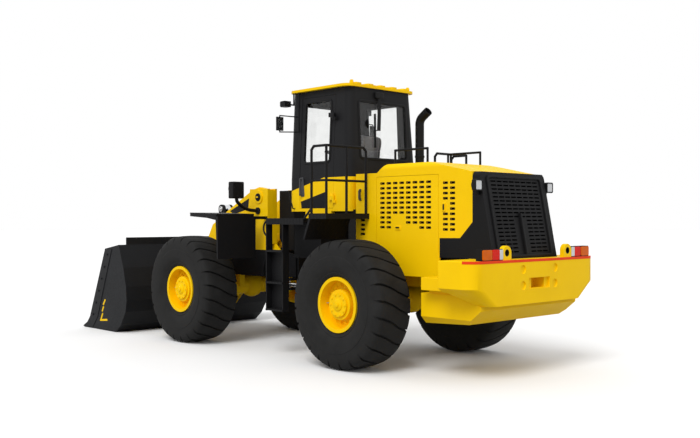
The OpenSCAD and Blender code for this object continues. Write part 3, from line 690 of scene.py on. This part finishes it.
def bezel(centre, size, bar, depth, radius=0.014):
    """A frame around a lamp that faces along x: a rounded rectangle carried round by a bar."""
    path = oblong(size[0], size[1], radius)
    points = np.stack([np.full(len(path), centre[0]), centre[1] + path[:, 0], centre[2] + path[:, 1]], -1)
    return along(points, oblong(bar, depth, min(bar, depth) * 0.3, 2), closed=True)


class LOADER_OT_lamps(bpy.types.Operator):
    """Fit housings, lenses and frames to the lamps"""
    bl_idname = "loader.lamps"
    bl_label = "Lamps"

    def execute(self, context):
        # Tail lamps: amber outside, red in the middle, clear inside
        low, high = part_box("rear_lamps")
        mid_z, tall = (low[2] + high[2]) / 2, high[2] - low[2]
        for name, y0, y1, back in (("amber_lens", 0.896, 1.066, 0), ("red_lens", 0.757, 0.887, 0.005),
                                   ("white_lens", 0.694, 0.753, 0.005)):
            face = low[0] + back
            part = soft_box((face - 0.002, (y0 + y1) / 2, mid_z), (0.02, y1 - y0, tall - 0.016), 0.2)
            piece("tail_" + name, both(part), "rear", name)
        # Rear work lamps on brackets at the hood's rear corners
        x, y, z = at(-3430, 710, 2255)
        shade = lathe([(0.0, 0.062), (0.03, 0.064), (0.055, 0.05), (0.07, 0.028), (0.072, 0.012)],
                      (x, y, z), FORWARD, 36)
        housing = soft_box((x + 0.012, y, z), (0.05, 0.13, 0.13), 0.18)
        foot = run([(-3400, 632, 2168), (-3400, 672, 2168), (-3400, 690, 2200), (-3400, 700, 2230)],
                   0.02, oblong(0.05, 0.016, 0.004, 2))
        lamp = piece("work_lamp_housings", both(joined([shade, housing, foot])), "rear",
                     "trim_black")
        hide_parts("work_lamps")
        ring = bezel((x - 0.014, y, z), (0.118, 0.118), 0.014, 0.022)
        piece("work_lamp_frames", both(ring), "rear", "trim_black")
        glass = soft_box((x - 0.012, y, z), (0.016, 0.108, 0.108), 0.25)
        piece("work_lamp_lenses", both(glass), "rear", "white_lens")
        # Head lamps on curved stalks from the tower: a round lamp above a turn signal
        face, y, z = at(1026, 880, 2315)
        box = soft_box((face - 0.06, y, z - 0.022), (0.12, 0.205, 0.25), 0.12)
        stalk = run([(962, 468, 1988), (962, 690, 2000), (962, 868, 2110), (962, 880, 2172)],
                    0.12, circle(0.026, 20), 10)
        boss = lathe([(-0.004, 0.052), (0.024, 0.052), (0.03, 0.044)], at(962, 470, 1988), LEFT, 36)
        lamp = piece("head_lamp_housings", both(joined([box, stalk, boss])), "front", "charcoal_enamel")
        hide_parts("head_lamps")
        ring = lathe([(-0.004, 0.094), (0.012, 0.094), (0.016, 0.089), (0.012, 0.08), (0.004, 0.078)],
                     (face, y, z), FORWARD, 48)
        piece("head_lamp_rings", both(ring), "front", "trim_black")
        dome = lathe([(0.003, 0.079), (0.008, 0.077), (0.014, 0.055), (0.018, 0.028), (0.019, 0.004)],
                     (face, y, z), FORWARD, 48)
        piece("head_lamp_lenses", both(dome), "front", "white_lens")
        signal = soft_box((face + 0.003, y, z - 0.12), (0.016, 0.17, 0.04), 0.22)
        piece("front_signals", both(signal), "front", "amber_lens")
        return {"FINISHED"}


def window_seal(corners, bar, depth, radius=0.06):
    """A rubber seal round a window: the outline through its corners, with bends, carried round by a bar."""
    p = np.asarray(corners, float)
    path = [bend(p[i - 1], p[i], p[(i + 1) % len(p)], radius) for i in range(len(p))]
    return along(np.concatenate(path), oblong(bar, depth, min(bar, depth) * 0.35, 2), closed=True)


# The cab in millimetres: belt line, rise of the leaning walls above it, half-width and rear face
CAB_BELT, CAB_RISE, CAB_HALF, CAB_REAR = 2430, 1215, 665, -1265


def wall_y(z):
    """Half-width of the cab at a height, in millimetres: the sides lean in above the belt line."""
    return CAB_HALF - 60 * max(0, z - CAB_BELT) / CAB_RISE


def wall_x(z):
    """Rear face of the cab at a height, in millimetres: it leans forward above the belt line."""
    return CAB_REAR + 68 * max(0, z - CAB_BELT) / CAB_RISE


def side_window(x0, x1, z0, z1, side, bar):
    """A seal round a window of a leaning cab side; side is 1 on the left and -1 on the right."""
    corners = [at(x, side * wall_y(z), z) for x, z in ((x0, z0), (x1, z0), (x1, z1), (x0, z1))]
    return window_seal(corners, bar, 0.018)


def end_window(x_of, half, z0, z1, bar):
    """A seal round a window in the front or rear of the cab, where x_of gives the wall at a height."""
    corners = [at(x_of(z), y, z) for y, z in ((-half, z0), (half, z0), (half, z1), (-half, z1))]
    return window_seal(corners, bar, 0.02)


class LOADER_OT_cab_trim(bpy.types.Operator):
    """Add the window seals, wiper, grab rail, lamp lenses and small fittings of the cab"""
    bl_idname = "loader.cab_trim"
    bl_label = "Cab fittings"

    def execute(self, context):
        w = sizes().seal_width
        black = "trim_black"
        piece("door_window_seal", side_window(-850, -310, 2640, 3490, 1, w), "door", black)
        fixed = [side_window(-930, -300, 2620, 3500, -1, w), end_window(wall_x, 460, 2680, 3460, w),
                 end_window(lambda z: 10, 470, 2560, 3500, w)]
        piece("cab_window_seals", joined(fixed), "rear", black)
        # Rear wiper: motor cover, arm and blade on the leaning pane
        arm = run([(wall_x(3530) - 24, 82, 3530), (wall_x(3300) - 22, 90, 3300),
                   (wall_x(3070) - 14, 104, 3070)], 0.03, oblong(0.05, 0.02, 0.006, 2))
        blade = along([at(wall_x(z) - 6, y, z) for y, z in ((158, 3300), (167, 3070), (176, 2835))],
                      oblong(0.018, 0.03, 0.005, 2))
        bridge = along([at(wall_x(3075) - 12, 104, 3078), at(wall_x(3075) - 12, 136, 3075),
                        at(wall_x(3070) - 9, 168, 3070)], oblong(0.016, 0.012, 0.004, 2))
        motor = soft_box(at(wall_x(3555) - 18, 80, 3555), (0.05, 0.16, 0.09), 0.3)
        piece("rear_wiper", joined([arm, blade, bridge, motor]), "rear", black)
        mirror = soft_box(at(-121, 920, 3195), (0.008, 0.096, 0.174), 0.15)
        piece("mirror_faces", both(mirror), "rear", "mirror_glass")
        piece("cab_lamp_frames", both(bezel(at(-38, 800, 3480), (0.1, 0.07), 0.012, 0.02)), "rear", black)
        glass = soft_box(at(-40, 800, 3480), (0.014, 0.088, 0.06), 0.25)
        piece("cab_lamp_lenses", both(glass), "rear", "white_lens")
        # Grab rail on the front corner post and the brace from the deck rail to the landing
        grab = run([(-42, 655, 2262), (-42, 706, 2262), (-62, 706, 2180), (-122, 706, 2050),
                    (-132, 706, 2008), (-132, 655, 2008)], 0.035, circle(0.008, 12))
        piece("cab_grab_rail", grab, "rear", black)
        brace = run([(-1295, 1370, 2060), (-1290, 1368, 2000), (-960, 1190, 1886), (-945, 1186, 1868)],
                    0.05, circle(0.014, 12))
        piece("deck_brace", both(brace), "rear", "charcoal_enamel")
        # Black sheets that close the gap between the cab floor and the deck: painted shade in the gap under
        # the cab
        dark_plate = block((-1400, 585, 1870), (-300, 600, 1990))
        piece("cab_gap_shade", both(dark_plate), "rear", "black_and_painted_shade")
        lean = math.radians(6)
        turn = [[math.cos(lean), 0, math.sin(lean)], [0, 1, 0], [-math.sin(lean), 0, math.cos(lean)]]
        plate = soft_box(at(-292, 667, 2310), (0.075, 0.016, 0.27), 0.22, turn=turn)
        piece("door_handle_plate", plate, "door", "handle_grey")
        ribs = [soft_box(at(-640, y, 3682), (1.17, 0.11, 0.05), 0.14) for y in range(-460, 461, 230)]
        piece("roof_ribs", joined(ribs), "rear", "yellow_enamel")
        # Lifting lugs on the roof
        lug = slab([(-0.03, -0.01), (0.03, -0.01), (0.03, 0.035), (0.018, 0.055), (-0.018, 0.055),
                    (-0.03, 0.035)], at(-1170, 562, 3680), FORWARD, UP, 0.022)
        piece("roof_lugs", both(lug), "rear", "yellow_enamel", bevel=0.004)
        return {"FINISHED"}


class LOADER_OT_body_trim(bpy.types.Operator):
    """Add the stripe, latches, grips and guard bars of the rear body, and the black painted shade behind
    and round its louvre slots
    """
    bl_idname = "loader.body_trim"
    bl_label = "Body fittings"

    def execute(self, context):
        high = sizes().stripe_height
        cx, cy = CAD_BOX[0][0] + CW_CORNER, CW_HALF - CW_CORNER
        plan = np.concatenate([arc((cx, cy), CW_CORNER, 105, 180), arc((cx, -cy), CW_CORNER, 180, 255)])
        path = np.concatenate([plan, np.full((len(plan), 1), 1.385)], 1)
        band = along(path, oblong(0.004, high, 0.001, 1))
        piece("warning_stripe", band, "rear", "stripe_enamel")
        # Latches and grips of the side panels
        latch = soft_box(at(-2111, 642, 1751), (0.085, 0.016, 0.05), 0.25)
        catch = soft_box(at(-2867, 642, 2008), (0.05, 0.016, 0.11), 0.25)
        grip = run([(-1444, 636, 2120), (-1444, 668, 2120), (-1444, 668, 2238), (-1444, 636, 2238)],
                   0.022, oblong(0.04, 0.014, 0.005, 2))
        piece("hood_grips", both(grip), "rear", "handle_grey")
        piece("hood_latches", both(joined([latch, catch])), "rear", "yellow_enamel")
        keys = joined([soft_box(at(-2111, 651, 1757), (0.06, 0.014, 0.018), 0.35),
                       soft_box(at(-2867, 651, 2008), (0.02, 0.014, 0.07), 0.35)])
        piece("latch_keys", both(keys), "rear", "trim_black")
        # Bars of the rear guard
        lean = np.array([at(-3600, 0, 1400), at(-3400, 0, 2416)])
        span = lambda z: lean[0] + (lean[1] - lean[0]) * (z - 1.4) / 1.016
        out = np.array([-0.98, 0, 0.19]) * 0.006
        rect = [span(1.43) + out + (0, -0.53, 0), span(1.43) + out + (0, 0.53, 0),
                span(2.36) + out + (0, 0.53, 0), span(2.36) + out + (0, -0.53, 0)]
        frame_bar = window_seal(rect, 0.03, 0.024, 0.05)
        bar = along([span(1.45) + out, span(1.7) + out, span(1.93) + out], oblong(0.03, 0.05, 0.006, 2))
        piece("guard_frame", joined([frame_bar, bar]), "rear", "charcoal_enamel")
        core = radiator(span(1.4) + (0.062, 0, 0), span(2.375) + (0.062, 0, 0), 1.2)
        piece("radiator_core", core, "rear", "black_and_painted_shade")
        # A black sheet just inside each hood side, behind the louvre slots: painted shade of the engine bay
        shade_sheet = side_mark([(-3090, 1650), (-1400, 1650), (-1400, 2380), (-3090, 2380)], 609, 0.003)
        piece("hood_shade_sheets", both(shade_sheet), "rear", "black_and_painted_shade")
        # Black rims round the louvre slots in the side panels, the rear sides and the front lower corner:
        # painted shade that makes the slots look wider and darker
        slots = [(-1839 - 112 * c, 2318 - 62 * r) for c in range(8) for r in range(10)
                 if not (r in (7, 8) and c in (2, 3)) and not (r == 9 and 1 < c < 6)]
        slots += [(-2890 - 110 * c, 2298 - 62 * r) for c in range(2) for r in range(10)
                  if c == 1 or r not in (4, 5)]
        slots += [(-1480, 1668 + 60 * i) for i in range(4)]
        shade_rims = repeated(louvre_shade_rim(0.06, 0.014, 0.008, 0.0015), [moved(*at(x, 640, z)) for x, z in slots])
        piece("louvre_shade_rims", both(shade_rims), "rear", "black_and_painted_shade")
        clamp = lathe([(0, 0.064), (0.002, 0.067), (0.028, 0.067), (0.03, 0.064)],
                      at(-1630, -300, 2700), UP, 40)
        piece("exhaust_clamp", clamp, "rear", "charcoal_enamel")
        return {"FINISHED"}


TAIL, CW_HALF, CW_TOP, CW_CORNER = -3.785 + HINGE_X, 1.25, 1.4, 0.2


def ballast_block():
    """The cast rear block as a stack of plans: each level is a rectangle with two round rear corners,
    given by its height, half-width, front edge, inset of the rear and corner radius."""
    lip = 0.008
    levels = np.array([(0.885, 0.93, -3.70, 0, 0.15), (1.04, 1.172, -3.35, 0, 0.19),
                       (1.046, 1.181, -3.3, 0, 0.19), (1.09, CW_HALF, -3.3, 0, CW_CORNER),
                       (CW_TOP - lip, CW_HALF, -3.3, 0, CW_CORNER),
                       (CW_TOP, CW_HALF - lip, -3.3, lip, CW_CORNER - lip)])
    plans = []
    for z, half, front, inset, r in levels:
        x = TAIL + inset + r
        plan = np.concatenate([[(front + HINGE_X, half)], arc((x, half - r), r, 90, 180),
                               arc((x, r - half), r, 180, 270), [(front + HINGE_X, -half)]])
        plans.append(np.concatenate([plan, np.full((len(plan), 1), z)], 1))
    return outward(shell(np.stack(plans, 1), wrap_u=True, caps=True))


def ring_tab(y, z, radius, hole, drop, thickness, x):
    """A lifting eye: round the hole's centre the edge is a circle above and a box below, and the
    plate is a ring of four loops, outer and inner, front and back."""
    a = np.arange(48) * TAU / 48
    c, s = np.cos(a), np.sin(a)
    box = np.minimum(radius / np.maximum(np.abs(c), 1e-6), drop / np.maximum(np.abs(s), 1e-6))
    outer = np.where(s > 0, radius, box)
    loops = [(outer, 0), (outer, thickness), (np.full(48, hole), thickness), (np.full(48, hole), 0)]
    grid = np.stack([np.stack([np.full(48, x + d), y + r * c, z + r * s], -1) for r, d in loops], 1)
    return outward(shell(grid, wrap_u=True, wrap_v=True))


def carved(obj, cutter):
    """The object's mesh with the cutter shell taken away, after which the cutter is removed."""
    points, faces = cutter
    mesh = bpy.data.meshes.new("cutter")
    mesh.from_pydata(points.tolist(), [], faces)
    tool = bpy.data.objects.new("cutter", mesh)
    bpy.context.scene.collection.objects.link(tool)
    cut = obj.modifiers.new("recesses", "BOOLEAN")
    cut.operation, cut.solver, cut.object = "DIFFERENCE", "EXACT", tool
    done = bpy.data.meshes.new_from_object(obj.evaluated_get(bpy.context.evaluated_depsgraph_get()))
    obj.modifiers.clear()
    obj.data = done
    bpy.data.objects.remove(tool)
    bpy.data.meshes.remove(mesh)


def block(low, high):
    """A box between two corners in millimetres, as a plate of its plan."""
    (x0, y0, z0), (x1, y1, z1) = low, high
    plan = [at(x, y, 0)[:2] for x, y in ((x0, y0), (x1, y0), (x1, y1), (x0, y1))]
    return slab(plan, (0, 0, z0 / 1000), FORWARD, LEFT, (z1 - z0) / 1000)


def louvre_shade_rim(width, height, bar, proud):
    """A black rim round a louvre slot, painted shade that widens the slot's dark opening: the slot's
    outline and a wider one, both flat and raised.
    """
    wide = oblong(width + 2 * bar, height + 2 * bar, height / 2, 2)
    slim = oblong(width, height, height / 3, 2)
    loops = [(wide, -0.002), (wide, proud), (slim, proud), (slim, -0.002)]
    grid = np.stack([np.stack([o[:, 0], np.full(len(o), d), o[:, 1]], -1) for o, d in loops], 1)
    return outward(shell(grid, wrap_u=True, wrap_v=True))


class LOADER_OT_counterweight(bpy.types.Operator):
    """Cast the counterweight with its recesses, tow pocket and lifting eyes"""
    bl_idname = "loader.counterweight"
    bl_label = "Counterweight"

    def execute(self, context):
        yellow = "yellow_enamel"
        body = piece("counterweight_block", ballast_block(), "rear", yellow)
        round_cut = [lathe([(-0.01, 0.05), (0.016, 0.05)], at(-3785, y, z), FORWARD, 40)
                     for y in (-320, 320) for z in (1100, 1285)]
        carved(body, joined([*round_cut, block((-3800, -210, 1058), (-3758, 210, 1182))]))
        carved(body, block((-3790, -130, 1062), (-3605, 130, 1178)))
        body.data.set_sharp_from_angle(angle=SHARP_EDGE)
        round_edges(body, 0.006)
        wings = joined([block((-3305, -650, 1040), (-3250, 650, 1400)),
                        both(block((-3305, 650, 1040), (-2900, 1090, 1190)))])
        arms = piece("counterweight_arms", wings, "rear", yellow, bevel=0.005)
        eye = ring_tab(0.61, 1.481, 0.082, 0.04, 0.088, 0.06, TAIL + 0.012)
        eyes = piece("lifting_eyes", both(eye), "rear", yellow, bevel=0.004)
        # A black ring inside each eye's hole: painted shade of the hole's inner wall
        shade_ring = ring_tab(0.61, 1.481, 0.04, 0.03, 0.04, 0.056, TAIL + 0.014)
        piece("eye_shade_rings", both(shade_ring), "rear", "black_and_painted_shade")
        for obj in (body, arms, eyes):
            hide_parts("counterweight")
        return {"FINISHED"}


def radiator(low, high, width, pitch=0.02, depth=0.008):
    """A leaning core of upright pleats: across the width the face goes in and out by depth every
    pitch, and the plate runs straight from the low to the high end, 40 mm thick."""
    count = int(width / pitch)
    y = np.linspace(-width / 2, width / 2, 2 * count + 1)
    fold = depth * (np.arange(len(y)) % 2)
    face = np.stack([fold, y], -1)
    back = np.array([[0.04, width / 2], [0.04, -width / 2]])
    outline = np.concatenate([face, back])
    ends = np.stack([np.asarray(low, float), np.asarray(high, float)])
    grid = np.stack([ends[None, :, 0] + outline[:, None, 0], ends[None, :, 1] + outline[:, None, 1],
                     np.broadcast_to(ends[None, :, 2], (len(outline), 2))], -1)
    return outward(shell(grid, wrap_u=True, caps=True))


# Padded pieces: size of the even mesh, inner pressure, frames and the farthest swelling
PAD_VOXEL, PAD_PRESSURE, PAD_FRAMES, PAD_SWELL = 0.006, 4.0, 20, 0.016


def stuffed(name, part, channels):
    """A padded seat piece: the shell is remeshed in even voxels and blown up by an inner pressure in a
    cloth simulation, no point travels farther than PAD_SWELL, and channels moves the points to sew it."""
    obj = piece(name, part, "rear", "seat_cloth")
    scene = bpy.context.scene
    remesh = obj.modifiers.new("even", "REMESH")
    remesh.mode, remesh.voxel_size = "VOXEL", PAD_VOXEL
    settled = bpy.data.meshes.new_from_object(obj.evaluated_get(bpy.context.evaluated_depsgraph_get()))
    obj.modifiers.clear()
    obj.data = settled
    start = points_of(settled)
    cloth_mod = obj.modifiers.new("stuffing", "CLOTH")
    cloth_mod.settings.use_pressure = True
    cloth_mod.settings.uniform_pressure_force = PAD_PRESSURE
    cloth_mod.settings.effector_weights.gravity = 0.0
    cloth_mod.point_cache.frame_start, cloth_mod.point_cache.frame_end = 1, PAD_FRAMES
    for step in range(1, PAD_FRAMES + 1):
        scene.frame_set(step)
    travel = points_of(obj.evaluated_get(bpy.context.evaluated_depsgraph_get()).data) - start
    far = np.linalg.norm(travel, axis=1, keepdims=True)
    obj.modifiers.clear()
    scene.frame_set(1)
    set_points(settled, start + travel * np.minimum(1, PAD_SWELL / np.maximum(far, 1e-9)))
    set_points(obj.data, channels(points_of(obj.data)))
    obj.data.polygons.foreach_set("use_smooth", np.ones(len(obj.data.polygons), bool))
    return obj


def points_of(mesh):
    """All points of a mesh as one array."""
    flat = np.empty(len(mesh.vertices) * 3, np.float32)
    mesh.vertices.foreach_get("co", flat)
    return flat.reshape(-1, 3).astype(float)


def set_points(mesh, points):
    """Write an array of points back to a mesh."""
    mesh.vertices.foreach_set("co", points.astype(np.float32).ravel())
    mesh.update()


def dip(value, centre, width, depth):
    """A sewn channel: depth times the bell curve of the distance from centre."""
    return depth * np.exp(-((value - centre) / width) ** 2)


class LOADER_OT_seat(bpy.types.Operator):
    """Upholster the driver's seat on its bellows"""
    bl_idname = "loader.seat"
    bl_label = "Seat"

    def execute(self, context):
        middle = at(-675, 0, 2310)

        def sew_cushion(p):
            q = p - middle
            top = np.clip(q[:, 2] / 0.05, 0, 1)
            seam = dip(np.abs(q[:, 1]), 0.165, 0.012, 0.014) + dip(q[:, 0], -0.02, 0.012, 0.009)
            inside = np.abs(q[:, 1]) < 0.24
            p[:, 2] = np.maximum(p[:, 2] - seam * top * inside, middle[2] - 0.058)
            return p

        form = soft_box(middle, (0.49, 0.48, 0.1), 0.28, 64, 25)
        cushion = stuffed("seat_cushion", form, sew_cushion)
        lean = math.atan2(110, 680)
        c, s = math.cos(lean), math.sin(lean)
        turn = np.array([[c, 0, -s], [0, 1, 0], [s, 0, c]])
        heart = at(-912, 0, 2715)

        def sew_back(p):
            q = (p - heart) @ turn
            face = np.clip(q[:, 0] / 0.04, -1, 1)
            seam = dip(np.abs(q[:, 1]), 0.15, 0.012, 0.013) + dip(q[:, 2], 0.12, 0.012, 0.010)
            q[:, 0] -= seam * face
            return q @ turn.T + heart

        form = soft_box(heart, (0.1, 0.46, 0.64), 0.3, 64, 33, turn)
        back = stuffed("seat_back", form, sew_back)
        steps = 15
        level = np.arange(steps)
        outline = oblong(0.36, 0.34, 0.05)
        scale = 1 - 0.07 * (level % 2)
        grid = np.stack([outline[:, None, 0] * scale, outline[:, None, 1] * scale,
                         np.broadcast_to(level * 0.235 / (steps - 1), (len(outline), steps))], -1)
        bellows = shell(grid + at(-690, 0, 2012), wrap_u=True, caps=True)
        base = piece("seat_bellows", bellows, "rear", "trim_black")
        for obj in (cushion, back, base):
            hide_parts("seat")
        return {"FINISHED"}


class LOADER_OT_hose(bpy.types.Operator):
    """Hang the hose loop at the front of the left landing"""
    bl_idname = "loader.hose"
    bl_label = "Hose loop"

    def execute(self, context):
        thick = sizes().hose
        route = smooth_curve([at(*p) for p in (
            (-150, 1150, 1848), (-121, 1150, 1844), (-70, 1151, 1815), (-41, 1152, 1765),
            (-41, 1152, 1705), (-70, 1151, 1655), (-121, 1150, 1626), (-150, 1150, 1622))], 6)
        hose = piece("landing_hose", along(route, circle(thick / 2, 16)), "rear", "hose_rubber")
        ferrule = [(0.0, 0.0165), (0.004, 0.018), (0.012, 0.018), (0.014, 0.0155), (0.034, 0.015),
                   (0.036, 0.0135)]
        ends = joined([lathe(ferrule, route[i], route[j] - route[i], 20) for i, j in ((0, 1), (-1, -2))])
        fittings = piece("hose_ferrules", ends, "rear", "plated_steel")
        return {"FINISHED"}


def side_mark(points, y, thickness=0.002):
    """A flat mark on a side plate: points of (x, z) in millimetres on the plane at y, raised outwards."""
    outline = [at(x, 0, z)[::2] for x, z in points]
    return slab(outline, (0, y / 1000 + thickness, 0), FORWARD, UP, thickness)


class LOADER_OT_markings(bpy.types.Operator):
    """Put the plain painted marks on the door, the lift arms and the bucket"""
    bl_idname = "loader.markings"
    bl_label = "Markings"

    def execute(self, context):
        wedge = side_mark([(-259, 2107), (-783, 2236), (-783, 2012), (-278, 2014)], 665)
        piece("door_mark", wedge, "door", "charcoal_enamel")
        dark_plate = side_mark([(800, 1850), (800, 1915), (1440, 1946), (1440, 1905), (1010, 1880)], 1360, 0.018)
        piece("fender_edges", both(dark_plate), "front", "charcoal_enamel", bevel=0.003)
        crest = side_mark([(1010, 2350), (1173, 2310), (1825, 1991), (2230, 1775), (2340, 1600),
                           (2405, 1390), (2395, 1375), (2235, 1550), (1995, 1630), (1475, 1980),
                           (1000, 2340)], 341, 0.0785)
        piece("arm_crests", both(crest), "boom", "yellow_enamel", bevel=0.003)
        arm = side_mark([(1224, 2196), (1759, 1988), (1640, 1940), (1237, 2029)], 420)
        piece("arm_marks", both(arm), "boom", "charcoal_enamel")
        bars = [side_mark(points, 1450) for points in (
            [(3847, 508), (3880, 520), (3950, 430), (3920, 412)],
            [(3902, 391), (3935, 400), (3985, 315), (3955, 303)],
            [(3932, 278), (3965, 284), (4046, 143), (3789, 164), (3800, 196), (3985, 178)])]
        piece("bucket_marks", both(joined(bars)), "bucket", "yellow_enamel")
        return {"FINISHED"}


class LOADER_OT_linkage_trim(bpy.types.Operator):
    """Fit the pin caps of the linkage and the cutters of the bucket"""
    bl_idname = "loader.linkage_trim"
    bl_label = "Linkage fittings"

    def execute(self, context):
        r = sizes().pin_cap
        steel = "plated_steel"
        cap = lambda place, size: both(joined([
            lathe([(-0.002, size), (0.010, size), (0.014, size * 0.92), (0.014, size * 0.62),
                   (0.006, size * 0.58)], place, LEFT, 40),
            lathe([(0.004, size * 0.5), (0.018, size * 0.5), (0.022, size * 0.42)], place, LEFT, 32)]))
        piece("tower_pin_caps", cap(at(950, 485, 2195), r), "front", "charcoal_enamel")
        key = both(soft_box(at(950, 508, 2195), (0.05, 0.012, 0.02), 0.25))
        piece("tower_pin_keys", key, "front", "yellow_enamel")
        piece("bucket_pin_caps", cap(at(2950, 465, 380), r), "bucket", "charcoal_enamel")
        piece("bellcrank_pin_caps", cap(at(2275, 160, 1380), r * 0.8), "bellcrank", steel)
        piece("tilt_pin_caps", cap(at(2450, 98, 2030), r * 0.8), "bellcrank", steel)
        cutter = slab([at(x, 0, z)[::2] for x, z in
                       ((3640, 1372), (3862, 1368), (4384, 196), (4560, 6), (4300, 6), (4120, 210))],
                      (0, 1.458, 0), FORWARD, UP, 0.009)
        head = lathe([(0, 0.019), (0.012, 0.019), (0.016, 0.014)], (0, 0, 0), LEFT, 6)
        spots = zip(np.linspace(3790, 4270, 6), np.linspace(1270, 240, 6))
        heads = repeated(head, [moved(*at(x, 1457, z)) for x, z in spots])
        piece("bucket_cutters", both(joined([cutter, heads])), "bucket", "bucket_enamel")
        return {"FINISHED"}


def seen_rays(tree):
    """1 for rays from the eye, in reflections and through glass, and 0 for rays that only light."""
    rays = tree.nodes.new("ShaderNodeLightPath").outputs
    direct = maths(tree, "MAXIMUM", rays["Is Camera Ray"], rays["Is Glossy Ray"])
    return maths(tree, "MAXIMUM", direct, rays["Is Transmission Ray"])


# Studio: reach of the floor, its tones to the eye and to the light, and the key light's softness and turn
FLOOR_REACH, FLOOR_Z = 120.0, -0.002
FLOOR_SEEN = [(0.3, (0.93, 0.93, 0.93)), (0.7, (0.95, 0.95, 0.95))]
FLOOR_LIT = (0.42, 0.42, 0.42, 1)
WHITE = (1, 1, 1, 1)
KEY_SOFTNESS, KEY_TURN = math.radians(28), (math.radians(-38), math.radians(-22), 0)


class LOADER_OT_stage(bpy.types.Operator):
    """Set up the camera, the floor and the light"""
    bl_idname = "loader.stage"
    bl_label = "Stage"

    def execute(self, context):
        scene = context.scene
        s = scene.loader_stage
        cam = bpy.data.objects.new("camera", bpy.data.cameras.new("camera"))
        cam.location = s.eye
        cam.rotation_euler = (math.pi / 2, 0, s.heading)
        cam.data.lens = s.lens
        cam.data.sensor_width = 36
        cam.data.clip_end = 400
        scene.collection.objects.link(cam)
        scene.camera = cam
        scene.view_settings.view_transform = "Standard"
        side = np.linspace(-FLOOR_REACH, FLOOR_REACH, 3)
        x, y = np.meshgrid(side, side, indexing="ij")
        points, faces = shell(np.stack([x, y, np.full_like(x, FLOOR_Z)], -1))
        mesh = bpy.data.meshes.new("floor")
        mesh.from_pydata(points.tolist(), [], faces)
        floor = bpy.data.objects.new("floor", mesh)
        scene.collection.objects.link(floor)
        mat, tree, shader, coords = tree_of("floor_white")
        pale = ramp(tree, noise(tree, coords, 0.4), FLOOR_SEEN)
        feed(shader, {"Base Color": blend(tree, seen_rays(tree), FLOOR_LIT, pale), "Roughness": 0.9,
                      "Specular IOR Level": 0.1})
        mesh.materials.append(mat)
        world = bpy.data.worlds.new("studio")
        scene.world = world
        world.use_nodes = True
        tree = world.node_tree
        back = tree.nodes["Background"]
        feed(back, {"Color": WHITE, "Strength": s.sky})
        seen = add(tree, "Background", {"Color": WHITE})
        mix = add(tree, "MixShader", {"Fac": seen_rays(tree), 1: back.outputs[0], 2: seen.outputs[0]})
        feed(tree.nodes["World Output"], {"Surface": mix.outputs[0]})
        key = bpy.data.objects.new("key", bpy.data.lights.new("key", "SUN"))
        key.data.energy = s.sun
        key.data.angle = KEY_SOFTNESS
        key.rotation_euler = KEY_TURN
        scene.collection.objects.link(key)
        return {"FINISHED"}


class LOADER_PT_panel(bpy.types.Panel):
    """Lists the steps that dress the loader"""
    bl_idname = "LOADER_PT_panel"
    bl_label = "Wheel loader"
    bl_space_type = "VIEW_3D"
    bl_region_type = "UI"
    bl_category = "Loader"

    def draw(self, context):
        for step in STEPS:
            self.layout.operator(step.bl_idname)


STEPS = (LOADER_OT_stage, LOADER_OT_finishes, LOADER_OT_hose, LOADER_OT_tyres, LOADER_OT_wheel_trim,
         LOADER_OT_lamps, LOADER_OT_cab_trim, LOADER_OT_seat, LOADER_OT_counterweight,
         LOADER_OT_body_trim, LOADER_OT_markings, LOADER_OT_linkage_trim)
GROUPS = (LoaderColours, LoaderSizes, LoaderStage)


def register():
    for cls in (*GROUPS, *STEPS, LOADER_PT_panel):
        bpy.utils.register_class(cls)
    bpy.types.Scene.loader_colours = bpy.props.PointerProperty(type=LoaderColours)
    bpy.types.Scene.loader_sizes = bpy.props.PointerProperty(type=LoaderSizes)
    bpy.types.Scene.loader_stage = bpy.props.PointerProperty(type=LoaderStage)


def unregister():
    del bpy.types.Scene.loader_colours, bpy.types.Scene.loader_sizes, bpy.types.Scene.loader_stage
    for cls in reversed((*GROUPS, *STEPS, LOADER_PT_panel)):
        bpy.utils.unregister_class(cls)


def main():
    register()
    for step in STEPS:
        group, name = step.bl_idname.split(".")
        getattr(getattr(bpy.ops, group), name)()


if __name__ == "__main__":
    main()
